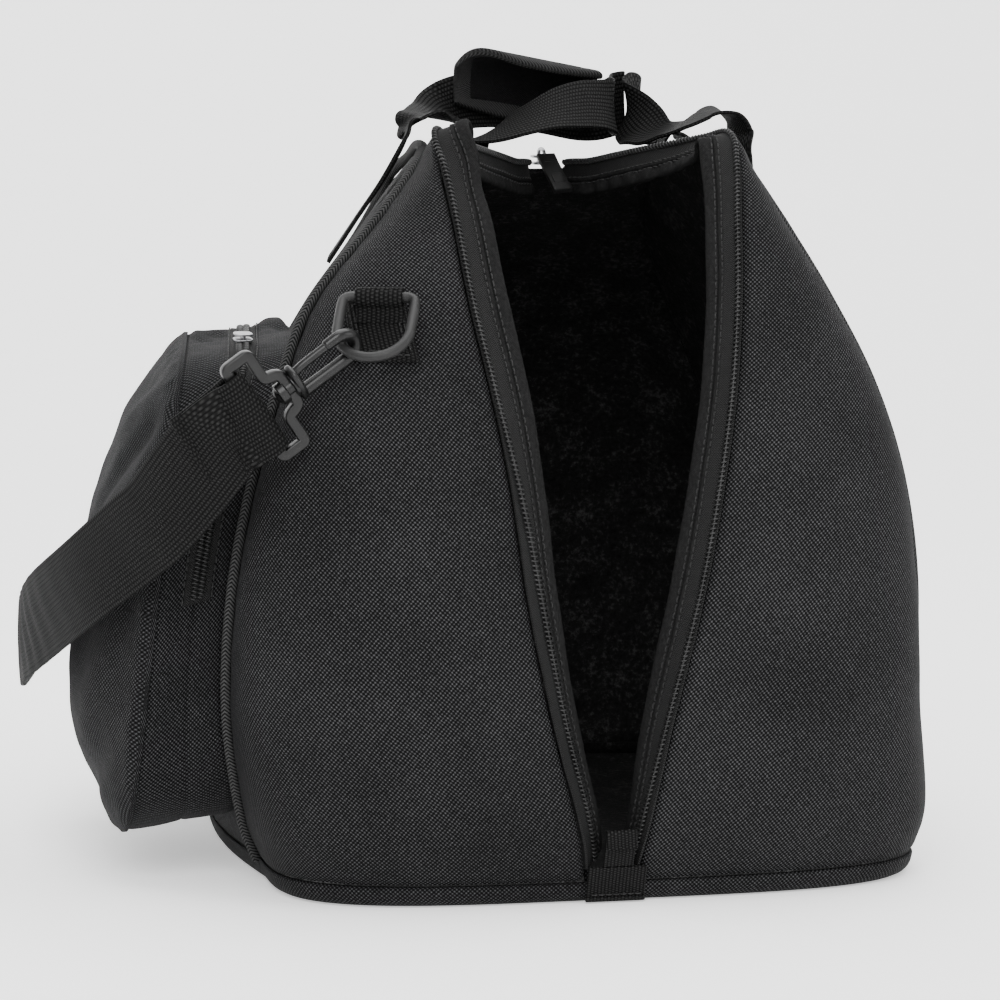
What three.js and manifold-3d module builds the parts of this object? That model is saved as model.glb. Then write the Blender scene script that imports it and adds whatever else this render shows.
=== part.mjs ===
// Soft bag for a motorcycle helmet: zipped mouth, side pocket, shoulder strap, two handles.
// Millimetres, +Z up. The mouth faces -Y, the pocket is on -X, the base stands on z = 0.
import * as THREE from "three";
import Module from "manifold-3d";

const wasm = await Module();
wasm.setup();

// Body
const halfWidth = 148;
const halfDepth = 178;
const height = 318;
const mouthHalf = 66;
const wall = 4;
const seamGap = 0.4;
const sideBulge = 9;
const baseBulge = 8;

// Trim
const pipingRadius = 2.6;
const tapeWidth = 10;
const tapeThick = 1.2;
const chainWidth = 3;
const chainThick = 2.4;
const bindWidth = 5;
const bindThick = 3.6;

// Webbing and straps
const webWidth = 25;
const webThick = 1.8;
const strapWidth = 38;
const strapThick = 1.7;

// Hardware
const ringInner = 26;
const ringWire = 2.2;
const hookWire = 2.9;
const barWire = 2.6;

// Side pocket
const pocketSetBack = 12;
const pocketSetForward = 32;
const pocketLow = 23;
const pocketHigh = 232;
const pocketOut = 200;
const pocketBelly = 28;
const pocketWall = 2.4;

const clearance = 0.4;

// Stations along the body from the front of the base, over the top and down the back.
// edge = zip line (shares of mouthHalf, halfDepth, height), shift = its sway in mm,
// seam = piped side seam (shares of halfWidth, halfDepth, height), lean = its sway in mm,
// round = exponent of the row's corner, lip = how far the zip tape turns inward, in degrees,
// on the left and the right, chain = how far in on its tape the chain lies, in mm.
const stationColumns = [
  "ex", "ey", "ez", "shift", "px", "py", "pz", "lean", "round",
  "lipLeft", "lipRight", "chainLeft", "chainRight",
];
const stations = [
  [0.170, -0.904, 0.028, -2.25, 0.960, -0.483, 0.031, 3.0, 3.4, 62, 86, 4.5, 3.0],
  [0.239, -0.955, 0.104, -2.75, 0.998, -0.534, 0.104, 0.0, 3.2, 56, 74, 4.5, 2.0],
  [0.409, -0.983, 0.252, -4.50, 1.007, -0.629, 0.252, -6.5, 2.9, 46, 56, 4.4, 0.6],
  [0.580, -0.978, 0.409, -3.25, 0.993, -0.663, 0.409, -6.5, 2.6, 34, 44, 4.0, 0.0],
  [0.696, -0.944, 0.550, -1.05, 0.940, -0.663, 0.550, -5.5, 2.5, 26, 40, 1.4, 0.0],
  [0.803, -0.882, 0.673, 0.0, 0.859, -0.629, 0.673, -5.0, 2.4, 10, 40, 0.0, 0.0],
  [0.894, -0.798, 0.786, 0.0, 0.750, -0.579, 0.786, -5.5, 2.3, 2, 40, 0.0, 0.0],
  [0.955, -0.697, 0.893, 0.5, 0.602, -0.506, 0.884, 0.5, 2.2, 8, 40, 0.0, 0.0],
  [1.000, -0.607, 0.962, 1.0, 0.504, -0.427, 0.950, 4.0, 1.8, 38, 42, 0.0, 0.0],
  [1.000, -0.517, 1.000, 1.5, 0.480, -0.337, 0.969, 6.5, 1.4, 56, 48, 0.0, 0.0],
  [0.879, -0.404, 0.997, 2.0, 0.443, -0.225, 0.978, 6.5, 1.1, 64, 60, 0.0, 0.0],
  [0.561, -0.213, 0.981, 4.0, 0.416, -0.056, 0.978, 6.5, 1.0, 74, 74, 0.0, 0.0],
  [0.303, -0.042, 0.965, 6.5, 0.395, 0.112, 0.962, 6.0, 1.0, 82, 82, 0.0, 0.0],
  [0.121, 0.112, 0.953, 8.0, 0.412, 0.253, 0.934, 5.0, 1.0, 88, 88, 0.0, 0.0],
  [0.121, 0.421, 0.881, 6.0, 0.473, 0.461, 0.843, 4.0, 1.1, 88, 88, 0.0, 0.0],
  [0.121, 0.702, 0.780, 3.0, 0.588, 0.607, 0.742, 3.0, 1.6, 88, 88, 0.0, 0.0],
  [0.121, 0.888, 0.640, 1.5, 0.743, 0.674, 0.597, 2.0, 2.1, 88, 88, 0.0, 0.0],
  [0.121, 0.989, 0.459, 0.5, 0.858, 0.697, 0.456, 1.0, 2.4, 88, 88, 0.0, 0.0],
  [0.121, 0.994, 0.291, 0.0, 0.912, 0.663, 0.314, 0.0, 2.6, 88, 88, 0.0, 0.0],
  [0.121, 0.955, 0.138, 0.0, 0.932, 0.584, 0.157, 0.0, 2.8, 88, 88, 0.0, 0.0],
  [0.121, 0.899, 0.028, 0.0, 0.926, 0.517, 0.031, 0.0, 3.0, 88, 88, 0.0, 0.0],
];
const mouthEnd = 13;
const lastStation = stations.length - 1;

const V = (x, y, z) => new THREE.Vector3(x, y, z);

function column(name) {
  const index = stationColumns.indexOf(name);
  return stations.map((row) => row[index]);
}

// Catmull-Rom through a list of numbers, t in list steps.
function smooth(list, t) {
  const last = list.length - 1;
  const i = Math.min(Math.max(Math.floor(t), 0), last - 1);
  const f = t - i;
  const b = list[i];
  const c = list[i + 1];
  const a = i > 0 ? list[i - 1] : 2 * b - c;
  const d = i + 2 <= last ? list[i + 2] : 2 * c - b;
  const m0 = (c - a) / 2;
  const m1 = (d - b) / 2;
  const f2 = f * f;
  const f3 = f2 * f;
  return b * (2 * f3 - 3 * f2 + 1) + m0 * (f3 - 2 * f2 + f) + c * (3 * f2 - 2 * f3) + m1 * (f3 - f2);
}

function smoothPoint(points, t) {
  return V(
    smooth(points.map((p) => p.x), t),
    smooth(points.map((p) => p.y), t),
    smooth(points.map((p) => p.z), t),
  );
}

const columns = Object.fromEntries(stationColumns.map((name) => [name, column(name)]));

function edgePoint(side, t) {
  return V(
    side * smooth(columns.ex, t) * mouthHalf + smooth(columns.shift, t),
    smooth(columns.ey, t) * halfDepth,
    smooth(columns.ez, t) * height,
  );
}

function seamPoint(side, t) {
  return V(
    side * smooth(columns.px, t) * halfWidth + smooth(columns.lean, t),
    smooth(columns.py, t) * halfDepth,
    smooth(columns.pz, t) * height,
  );
}

// Fine points of the row that runs from the zip line round to the side seam.
function rowPoints(side, t) {
  const from = edgePoint(side, t);
  const to = seamPoint(side, t);
  const power = 2 / smooth(columns.round, t);
  const points = [];
  for (let i = 0; i <= 32; i++) {
    const angle = (i / 32) * Math.PI / 2;
    const a = Math.pow(Math.sin(angle), power);
    const b = 1 - Math.pow(Math.max(Math.cos(angle), 0), power);
    points.push(V(
      from.x + (to.x - from.x) * a,
      from.y + (to.y - from.y) * b,
      from.z + (to.z - from.z) * (a + b) / 2,
    ));
  }
  points[0] = from;
  points[32] = to;
  return points;
}

// The point a given distance along a polyline.
function walk(points, distance) {
  let left = distance;
  for (let i = 1; i < points.length; i++) {
    const step = points[i].distanceTo(points[i - 1]);
    if (left <= step || i === points.length - 1) {
      return points[i - 1].clone().lerp(points[i], step > 0 ? left / step : 0);
    }
    left -= step;
  }
  return points[points.length - 1].clone();
}

function lengthOf(points) {
  let total = 0;
  for (let i = 1; i < points.length; i++) total += points[i].distanceTo(points[i - 1]);
  return total;
}

function resample(points, count) {
  const total = lengthOf(points);
  const out = [];
  for (let i = 0; i <= count; i++) out.push(walk(points, total * i / count));
  out[0] = points[0].clone();
  out[count] = points[points.length - 1].clone();
  return out;
}

// Point and directions on the gusset: d mm round from the zip line at station t.
function gussetFrame(side, t, d) {
  const point = walk(rowPoints(side, t), d);
  const before = walk(rowPoints(side, t), Math.max(d - 2, 0));
  const after = walk(rowPoints(side, t), d + 2);
  const across = after.sub(before).normalize();
  const low = walk(rowPoints(side, Math.max(t - 0.1, 0)), d);
  const high = walk(rowPoints(side, Math.min(t + 0.1, lastStation)), d);
  const along = high.sub(low).normalize();
  const out = across.clone().cross(along).multiplyScalar(side).normalize();
  const up = out.clone().cross(across).multiplyScalar(side).normalize();
  return { point, across, up, out };
}

// Closed mesh under construction; vertices that coincide are shared.
class Solid {
  constructor() {
    this.points = [];
    this.lookup = new Map();
    this.faces = [];
  }

  vertex(p) {
    const key = [p.x, p.y, p.z].map((c) => Math.round(c * 2000)).join(" ");
    if (!this.lookup.has(key)) {
      this.lookup.set(key, this.points.length);
      this.points.push(p);
    }
    return this.lookup.get(key);
  }

  triangle(a, b, c) {
    const face = [this.vertex(a), this.vertex(b), this.vertex(c)];
    if (face[0] !== face[1] && face[1] !== face[2] && face[2] !== face[0]) this.faces.push(face);
  }

  quad(a, b, c, d) {
    if (a.distanceToSquared(c) <= b.distanceToSquared(d)) {
      this.triangle(a, b, c);
      this.triangle(a, c, d);
    } else {
      this.triangle(a, b, d);
      this.triangle(b, c, d);
    }
  }

  volume() {
    let total = 0;
    for (const [a, b, c] of this.faces) {
      total += this.points[a].dot(this.points[b].clone().cross(this.points[c])) / 6;
    }
    return total;
  }

  geometry() {
    const flip = this.volume() < 0;
    const geometry = new THREE.BufferGeometry();
    const flat = this.points.flatMap((p) => [p.x, p.y, p.z]);
    const index = this.faces.flatMap(([a, b, c]) => (flip ? [a, c, b] : [a, b, c]));
    geometry.setAttribute("position", new THREE.Float32BufferAttribute(flat, 3));
    geometry.setIndex(index);
    return geometry;
  }
}

// Solid between two matching grids. wrap joins the first and last column.
function sheet(outer, inner, wrap = false) {
  const solid = new Solid();
  const rows = outer.length;
  const cols = outer[0].length;
  const lastCol = wrap ? cols : cols - 1;
  for (let i = 0; i + 1 < rows; i++) {
    for (let j = 0; j < lastCol; j++) {
      const k = (j + 1) % cols;
      solid.quad(outer[i][j], outer[i][k], outer[i + 1][k], outer[i + 1][j]);
      solid.quad(inner[i][j], inner[i + 1][j], inner[i + 1][k], inner[i][k]);
    }
  }
  for (let j = 0; j < lastCol; j++) {
    const k = (j + 1) % cols;
    solid.quad(outer[0][k], outer[0][j], inner[0][j], inner[0][k]);
    const r = rows - 1;
    solid.quad(outer[r][j], outer[r][k], inner[r][k], inner[r][j]);
  }
  if (!wrap) {
    const c = cols - 1;
    for (let i = 0; i + 1 < rows; i++) {
      solid.quad(outer[i][0], outer[i + 1][0], inner[i + 1][0], inner[i][0]);
      solid.quad(outer[i + 1][c], outer[i][c], inner[i][c], inner[i + 1][c]);
    }
  }
  return solid.geometry();
}

// Sweep of a closed section. sections is a list of rings of points, loop joins the ends.
function sweep(sections, loop = false) {
  const solid = new Solid();
  const count = sections.length;
  const sides = sections[0].length;
  const spans = loop ? count : count - 1;
  for (let i = 0; i < spans; i++) {
    const a = sections[i];
    const b = sections[(i + 1) % count];
    for (let j = 0; j < sides; j++) {
      const k = (j + 1) % sides;
      solid.quad(a[j], a[k], b[k], b[j]);
    }
  }
  if (!loop) {
    for (const [ring, end] of [[sections[0], 0], [sections[count - 1], 1]]) {
      const normal = ringNormal(ring);
      const u = ring[1].clone().sub(ring[0]).normalize();
      const v = normal.clone().cross(u).normalize();
      const flat = ring.map((p) => {
        const arm = p.clone().sub(ring[0]);
        return new THREE.Vector2(arm.dot(u), arm.dot(v));
      });
      for (const [a, b, c] of THREE.ShapeUtils.triangulateShape(flat, [])) {
        if (end === 1) solid.triangle(ring[a], ring[b], ring[c]);
        else solid.triangle(ring[a], ring[c], ring[b]);
      }
    }
  }
  return solid.geometry();
}

function ringNormal(ring) {
  const normal = V(0, 0, 0);
  for (let i = 0; i < ring.length; i++) {
    const a = ring[i];
    const b = ring[(i + 1) % ring.length];
    normal.add(V((a.y - b.y) * (a.z + b.z), (a.z - b.z) * (a.x + b.x), (a.x - b.x) * (a.y + b.y)));
  }
  return normal.normalize();
}

// Round wire along a list of points; loop closes it. The section keeps turning with the path.
function wire(path, radius, sides, loop = false) {
  const count = path.length;
  const tangents = path.map((p, i) => {
    const next = loop ? path[(i + 1) % count] : path[Math.min(i + 1, count - 1)];
    const back = loop ? path[(i + count - 1) % count] : path[Math.max(i - 1, 0)];
    return next.clone().sub(back).normalize();
  });
  let side = Math.abs(tangents[0].z) < 0.8 ? V(0, 0, 1) : V(0, 1, 0);
  const frames = tangents.map((tangent) => {
    side = side.clone().addScaledVector(tangent, -side.dot(tangent)).normalize();
    return [side, tangent.clone().cross(side)];
  });
  // A closed path may come back turned, so the difference is spread along it.
  let twist = 0;
  if (loop) {
    const end = frames[count - 1][0].clone();
    end.addScaledVector(tangents[0], -end.dot(tangents[0]));
    twist = Math.atan2(end.dot(frames[0][1]), end.dot(frames[0][0]));
  }
  const sections = path.map((p, i) => {
    const ring = [];
    for (let j = 0; j < sides; j++) {
      const angle = 2 * Math.PI * j / sides - twist * i / count;
      ring.push(p.clone()
        .addScaledVector(frames[i][0], radius * Math.cos(angle))
        .addScaledVector(frames[i][1], radius * Math.sin(angle)));
    }
    return ring;
  });
  return sweep(sections, loop);
}

// Flat webbing: a path with the direction of its width at each point.
function ribbon(path, widths, width, thick) {
  const last = path.length - 1;
  const sections = path.map((p, i) => {
    const tangent = path[Math.min(i + 1, last)].clone().sub(path[Math.max(i - 1, 0)]).normalize();
    const w = widths[i].clone().addScaledVector(tangent, -widths[i].dot(tangent)).normalize();
    const n = tangent.clone().cross(w);
    const corner = (a, b) => p.clone().addScaledVector(w, a * width / 2).addScaledVector(n, b * thick / 2);
    return [corner(-1, -1), corner(1, -1), corner(1, 1), corner(-1, 1)];
  });
  return sweep(sections);
}

// Smooth path through few points, with the width direction carried along.
function ribbonThrough(points, widths, steps, width, thick) {
  const path = [];
  const turned = [];
  for (let i = 0; i <= steps; i++) {
    const t = (points.length - 1) * i / steps;
    path.push(smoothPoint(points, t));
    turned.push(smoothPoint(widths, t).normalize());
  }
  return ribbon(path, turned, width, thick);
}

function toManifold(geometry) {
  const position = geometry.getAttribute("position");
  return new wasm.Manifold(new wasm.Mesh({
    numProp: 3,
    vertProperties: new Float32Array(position.array),
    triVerts: new Uint32Array(geometry.index.array),
  }));
}

function joined(geometries) {
  const mesh = wasm.Manifold.union(geometries.map(toManifold)).getMesh();
  const geometry = new THREE.BufferGeometry();
  const flat = [];
  for (let i = 0; i < mesh.numVert; i++) {
    for (let k = 0; k < 3; k++) flat.push(mesh.vertProperties[i * mesh.numProp + k]);
  }
  geometry.setAttribute("position", new THREE.Float32BufferAttribute(flat, 3));
  geometry.setIndex(Array.from(mesh.triVerts));
  return geometry;
}

// Each piece is placed by its own position, so its geometry sits around its own middle.
function piece(name, geometry, material) {
  geometry.computeBoundingBox();
  const middle = geometry.boundingBox.getCenter(V(0, 0, 0));
  geometry.translate(-middle.x, -middle.y, -middle.z);
  geometry.computeVertexNormals();
  const mesh = new THREE.Mesh(geometry, material);
  mesh.name = name;
  mesh.position.copy(middle);
  return mesh;
}

// Outer grids of the body
const gussetRows = 26;
const gussetCols = 7;
const backRows = 14;
const sideRows = 14;
const sideCols = 12;

function gussetRow(side, t) {
  return resample(rowPoints(side, t), gussetCols);
}

function frontGrid(side) {
  const grid = [];
  for (let i = 0; i <= gussetRows; i++) grid.push(gussetRow(side, mouthEnd * i / gussetRows));
  return grid;
}

function backGrid() {
  const grid = [];
  for (let i = 0; i <= backRows; i++) {
    const t = mouthEnd + (lastStation - mouthEnd) * i / backRows;
    grid.push([...gussetRow(-1, t).reverse(), ...gussetRow(1, t)]);
  }
  return grid;
}

// Side panel between the front seam, the top seam, the back seam and the base.
function sidePoint(side, u, v) {
  const topFrom = mouthEnd / 2 + 0.5;
  const topTo = mouthEnd;
  const front = (s) => seamPoint(side, topFrom * s);
  const back = (s) => seamPoint(side, lastStation + (topTo - lastStation) * s);
  const top = (s) => seamPoint(side, topFrom + (topTo - topFrom) * s);
  const base = (s) => front(0).lerp(back(0), s).add(V(side * baseBulge * Math.sin(Math.PI * s), 0, 0));
  const point = V(0, 0, 0)
    .addScaledVector(base(u), 1 - v)
    .addScaledVector(top(u), v)
    .addScaledVector(front(v), 1 - u)
    .addScaledVector(back(v), u)
    .addScaledVector(front(0), -(1 - u) * (1 - v))
    .addScaledVector(back(0), -u * (1 - v))
    .addScaledVector(front(1), -(1 - u) * v)
    .addScaledVector(back(1), -u * v);
  point.x += side * sideBulge * Math.sin(Math.PI * u) * Math.sin(Math.PI * Math.pow(v, 0.8));
  return point;
}

function sideGrid(side) {
  const grid = [];
  for (let i = 0; i <= sideRows; i++) {
    const row = [];
    for (let j = 0; j <= sideCols; j++) row.push(sidePoint(side, j / sideCols, i / sideRows));
    grid.push(row);
  }
  return grid;
}

const grids = {
  frontRight: frontGrid(1),
  frontLeft: frontGrid(-1),
  back: backGrid(),
  sideRight: sideGrid(1),
  sideLeft: sideGrid(-1),
};

// The base takes its rim from the lower edges of the panels, in order around the bag.
function baseRim() {
  const back = grids.back[backRows];
  return [
    ...grids.frontRight[0],
    ...grids.sideRight[0].slice(1),
    ...[...back].reverse().slice(1),
    ...[...grids.sideLeft[0]].reverse().slice(1),
    ...[...grids.frontLeft[0]].reverse().slice(1),
  ];
}
const baseSteps = [
  // share of the rim's outline, share of the rim's height
  [1, 1],
  [0.99, 0.42],
  [0.968, 0.08],
  [0.935, 0],
  [0, 0],
];
grids.base = baseSteps.map(([outline, rise]) => (
  baseRim().map((p) => V(p.x * outline, p.y * outline, p.z * rise))
));

// Directions straight out of the whole body at each shared point, long enough to keep the wall.
const keyOf = (p) => [p.x, p.y, p.z].map((c) => Math.round(c * 50)).join(" ");
const faceNormals = new Map();

function noteNormals(grid, wrap, centre) {
  const cols = grid[0].length;
  for (let i = 0; i + 1 < grid.length; i++) {
    for (let j = 0; j < (wrap ? cols : cols - 1); j++) {
      const k = (j + 1) % cols;
      const corners = [grid[i][j], grid[i][k], grid[i + 1][k], grid[i + 1][j]];
      const normal = corners[2].clone().sub(corners[0]).cross(corners[3].clone().sub(corners[1]));
      const middle = corners.reduce((sum, p) => sum.add(p), V(0, 0, 0)).multiplyScalar(0.25);
      if (normal.dot(middle.sub(centre)) < 0) normal.negate();
      for (const p of corners) {
        const key = keyOf(p);
        if (!faceNormals.has(key)) faceNormals.set(key, []);
        faceNormals.get(key).push(normal.clone());
      }
    }
  }
}

const bodyCentre = V(0, -10, height * 0.42);
for (const [name, grid] of Object.entries(grids)) noteNormals(grid, name === "base", bodyCentre);

function outAt(p) {
  const normals = faceNormals.get(keyOf(p));
  const sum = V(0, 0, 0);
  for (const normal of normals) sum.add(normal.clone().normalize());
  sum.normalize();
  let dot = 0;
  for (const normal of normals) dot += sum.dot(normal.clone().normalize()) / normals.length;
  return sum.multiplyScalar(1 / Math.max(dot, 0.72));
}

function innerOf(grid, thick) {
  return grid.map((row) => row.map((p) => p.clone().addScaledVector(outAt(p), -thick)));
}

// Draws a grid back from its seams, so that neighbours stay apart.
function drawnBack(grid, edges) {
  const rows = grid.length;
  const cols = grid[0].length;
  const out = grid.map((row) => row.map((p) => p.clone()));
  const step = (i, j, k, l) => {
    const move = grid[k][l].clone().sub(grid[i][j]).setLength(seamGap / 2);
    out[i][j].add(move);
  };
  for (let j = 0; j < cols; j++) {
    if (edges.includes("first")) step(0, j, 1, j);
    if (edges.includes("last")) step(rows - 1, j, rows - 2, j);
  }
  for (let i = 0; i < rows; i++) {
    if (edges.includes("left")) step(i, 0, i, 1);
    if (edges.includes("right")) step(i, cols - 1, i, cols - 2);
  }
  return out;
}

function panel(grid, edges, wrap = false) {
  return sheet(drawnBack(grid, edges), drawnBack(innerOf(grid, wall), edges), wrap);
}

// Materials
const cloth = new THREE.MeshStandardMaterial({ color: 0x1b1b1d, roughness: 0.85, metalness: 0 });
const webbing = new THREE.MeshStandardMaterial({ color: 0x18181a, roughness: 0.8, metalness: 0 });
const trim = new THREE.MeshStandardMaterial({ color: 0x222225, roughness: 0.8, metalness: 0 });
const zipCloth = new THREE.MeshStandardMaterial({ color: 0x141416, roughness: 0.6, metalness: 0 });
const plastic = new THREE.MeshStandardMaterial({ color: 0x0e0e10, roughness: 0.35, metalness: 0 });
const metal = new THREE.MeshStandardMaterial({ color: 0x6a6a6e, roughness: 0.35, metalness: 1 });
const rubber = new THREE.MeshStandardMaterial({ color: 0x1a1a1c, roughness: 0.6, metalness: 0 });

const bag = new THREE.Group();
bag.name = "helmet_bag";

const body = new THREE.Group();
body.name = "body";
bag.add(body);
body.add(piece("base_panel", panel(grids.base, ["first"], true), cloth));
body.add(piece("front_panel_right", panel(grids.frontRight, ["first", "last", "right"]), cloth));
body.add(piece("front_panel_left", panel(grids.frontLeft, ["first", "last", "right"]), cloth));
body.add(piece("side_panel_right", panel(grids.sideRight, ["first", "last", "left", "right"]), cloth));
body.add(piece("side_panel_left", panel(grids.sideLeft, ["first", "last", "left", "right"]), cloth));
body.add(piece("back_panel", panel(grids.back, ["first", "last", "left", "right"]), cloth));

// Piping along each side seam, from just above the base to just above the base again.
function pipingPath(side) {
  const path = [];
  const count = 2 * lastStation;
  for (let i = 0; i <= count; i++) {
    const t = lastStation * i / count;
    const p = seamPoint(side, t);
    const out = outAt(p).normalize();
    if (i === 0) p.lerp(seamPoint(side, lastStation / count), 0.35);
    if (i === count) p.lerp(seamPoint(side, lastStation * (count - 1) / count), 0.35);
    path.push(p.addScaledVector(out, pipingRadius + clearance));
  }
  return path;
}
body.add(piece("piping_left", wire(pipingPath(-1), pipingRadius, 5), trim));
body.add(piece("piping_right", wire(pipingPath(1), pipingRadius, 5), trim));

const lipGap = 1.1;

// Lip of the mouth: zip tape turned in from the panel's edge, ended by a bound edge.
// along runs from the panel into the mouth, face points out of the tape.
function lipFrame(side, t) {
  const { point, across, out } = gussetFrame(side, t, 0);
  const tangent = edgePoint(side, t + 0.1).sub(edgePoint(side, t - 0.1)).normalize();
  across.addScaledVector(tangent, -across.dot(tangent)).normalize();
  const angle = THREE.MathUtils.degToRad(smooth(side < 0 ? columns.lipLeft : columns.lipRight, t));
  const along = across.clone().multiplyScalar(-Math.cos(angle)).addScaledVector(out, -Math.sin(angle));
  const face = out.clone().multiplyScalar(Math.cos(angle)).addScaledVector(across, -Math.sin(angle));
  const start = point.addScaledVector(across, -(lipGap + tapeThick * Math.sin(angle)));
  return { start, along, face };
}

function lipSections(side, outline) {
  const sections = [];
  for (let i = 0; i <= gussetRows; i++) {
    const t = lipFrom + (lipTo - lipFrom) * i / gussetRows;
    const { start, along, face } = lipFrame(side, t);
    sections.push(outline(side, t).map(([s, h]) => (
      start.clone().addScaledVector(along, s).addScaledVector(face, h)
    )));
  }
  return sections;
}

const lipFrom = 0.3;
const lipTo = mouthEnd - 0.3;
function tapeOutline(side, t) {
  const from = 0.4 + Math.max(smooth(side < 0 ? columns.chainLeft : columns.chainRight, t), 0);
  const to = from + chainWidth;
  return [
    [0, -tapeThick],
    [tapeWidth, -tapeThick],
    [tapeWidth, 0],
    [to + 0.3, 0],
    [to, chainThick - tapeThick],
    [from, chainThick - tapeThick],
    [from - 0.3, 0],
    [0, 0],
  ];
}
const bindMiddle = tapeWidth + 2 * clearance + bindWidth / 2;
const bindOutline = [];
for (let i = 0; i < 8; i++) {
  const angle = 2 * Math.PI * (i + 0.5) / 8;
  bindOutline.push([
    bindMiddle + bindWidth / 2 * Math.cos(angle) / Math.cos(Math.PI / 8),
    -tapeThick / 2 + bindThick / 2 * Math.sin(angle) / Math.cos(Math.PI / 8),
  ]);
}

const mouth = new THREE.Group();
mouth.name = "mouth";
bag.add(mouth);
for (const [name, side] of [["left", -1], ["right", 1]]) {
  mouth.add(piece(`zip_${name}`, sweep(lipSections(side, tapeOutline)), zipCloth));
  mouth.add(piece(`binding_${name}`, sweep(lipSections(side, () => bindOutline)), trim));
}

// Rounded block, with its corners cut back, for small moulded parts.
function block(width, depth, tall, cut, centre, tilt = null) {
  const outline = (w, d) => [
    [w - cut, -d], [w, -d + cut], [w, d - cut], [w - cut, d],
    [-w + cut, d], [-w, d - cut], [-w, -d + cut], [-w + cut, -d],
  ];
  const levels = [
    [width / 2 - cut / 2, depth / 2 - cut / 2, -tall / 2],
    [width / 2, depth / 2, -tall / 2 + cut / 2],
    [width / 2, depth / 2, tall / 2 - cut / 2],
    [width / 2 - cut / 2, depth / 2 - cut / 2, tall / 2],
  ];
  const turn = tilt ?? new THREE.Quaternion();
  return sweep(levels.map(([w, d, z]) => (
    outline(w, d).map(([x, y]) => V(x, y, z).applyQuaternion(turn).add(centre))
  )));
}

// Slider at the top end of the mouth, with a pull tab that hangs into the mouth.
const topEdge = edgePoint(1, mouthEnd).add(edgePoint(-1, mouthEnd)).multiplyScalar(0.5);
const sliderTall = 5;
const sliderCentre = topEdge.clone().add(V(0, 2, clearance + sliderTall / 2));
const slider = joined([
  block(9, 12, sliderTall, 1, sliderCentre),
  wire([
    V(0, 4, 1.5), V(0, 2, 4.6), V(0, -3, 4.8), V(0, -7.4, 3.2), V(0, -8, 0.6), V(0, -5, -0.6),
  ].map((p) => p.add(sliderCentre)), 0.9, 6),
]);
mouth.add(piece("zip_slider", slider, metal));

const pullWidth = 9;
const pullThick = 1.8;
const pullPath = [V(0, -10.2, 2.2), V(1.2, -14, -2), V(3.1, -20, -8), V(4.9, -25, -14)]
  .map((p) => p.add(sliderCentre));
const pullTurn = pullPath.map(() => V(0.92, 0.3, 0.1));
mouth.add(piece("zip_pull", ribbonThrough(pullPath, pullTurn, 6, pullWidth, pullThick), rubber));

// Folded tabs at the bottom of the mouth.
const tabMiddle = -0.6;
function tabOn(width, thick, levels) {
  const path = levels.map(([y, z]) => V(tabMiddle, y, z));
  return ribbon(path, path.map(() => V(1, 0, 0)), width, thick);
}
const frontAt = (t, off) => {
  const { point, out } = gussetFrame(1, t, 0);
  const moved = point.addScaledVector(out, off);
  return [moved.y, moved.z];
};
const tabOff = clearance + 0.3 + webThick / 2;
const endTab = tabOn(13, webThick, [0.405, 0.6, 0.8, 0.98].map((t) => frontAt(t, tabOff)));
mouth.add(piece("zip_end_tab", endTab, trim));
const rimFront = edgePoint(1, 0);
const baseTab = tabOn(webWidth, webThick, [
  frontAt(0.38, tabOff),
  [rimFront.y - tabOff - 0.6, rimFront.z],
  [rimFront.y * 0.99 - tabOff - 0.5, rimFront.z * 0.42],
  [rimFront.y * 0.98 - tabOff - 0.3, webThick * 0.62],
]);
body.add(piece("base_tab", baseTab, webbing));

// Looks up a surface: the third coordinate of the grid's surface at two given ones.
function lookUp(grid, [first, second, third], a, b) {
  let best = null;
  for (let i = 0; i + 1 < grid.length; i++) {
    for (let j = 0; j + 1 < grid[i].length; j++) {
      const p = grid[i][j];
      const du = grid[i][j + 1].clone().sub(p);
      const dv = grid[i + 1][j].clone().sub(p);
      const det = du[first] * dv[second] - du[second] * dv[first];
      const u = ((a - p[first]) * dv[second] - (b - p[second]) * dv[first]) / det;
      const v = (du[first] * (b - p[second]) - du[second] * (a - p[first])) / det;
      const miss = Math.max(0, -u, u - 1, -v, v - 1);
      if (best === null || miss < best.miss) {
        best = { miss, value: p[third] + u * du[third] + v * dv[third] };
      }
    }
  }
  return best.value;
}

function fineGrid(rows, cols, at) {
  const grid = [];
  for (let i = 0; i <= rows; i++) {
    const row = [];
    for (let j = 0; j <= cols; j++) row.push(at(i / rows, j / cols));
    grid.push(row);
  }
  return grid;
}

const leftSide = fineGrid(40, 30, (v, u) => sidePoint(-1, u, v));
const sideX = (y, z) => lookUp(leftSide, ["y", "z", "x"], y, z);
const leftTop = fineGrid(16, 8, (v, u) => (
  seamPoint(-1, 9 + 4 * v).lerp(edgePoint(-1, 9 + 4 * v), u)
));
const topZ = (x, y) => lookUp(leftTop, ["x", "y", "z"], x, y);

// Side pocket: an outline in y and z, carried out from the side panel to the face.
// Its front and back keep their distance from the side seams.
const pocketFront = -Math.min(...columns.py) * halfDepth - pocketSetBack;
const pocketBack = Math.max(...columns.py) * halfDepth - pocketSetForward;
const pocketMiddle = V(0, (pocketBack - pocketFront) / 2, (pocketHigh + pocketLow) / 2);
const pocketHalf = V(0, (pocketBack + pocketFront) / 2, (pocketHigh - pocketLow) / 2);
const pocketSteps = 36;
const pocketSag = 8;

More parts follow.
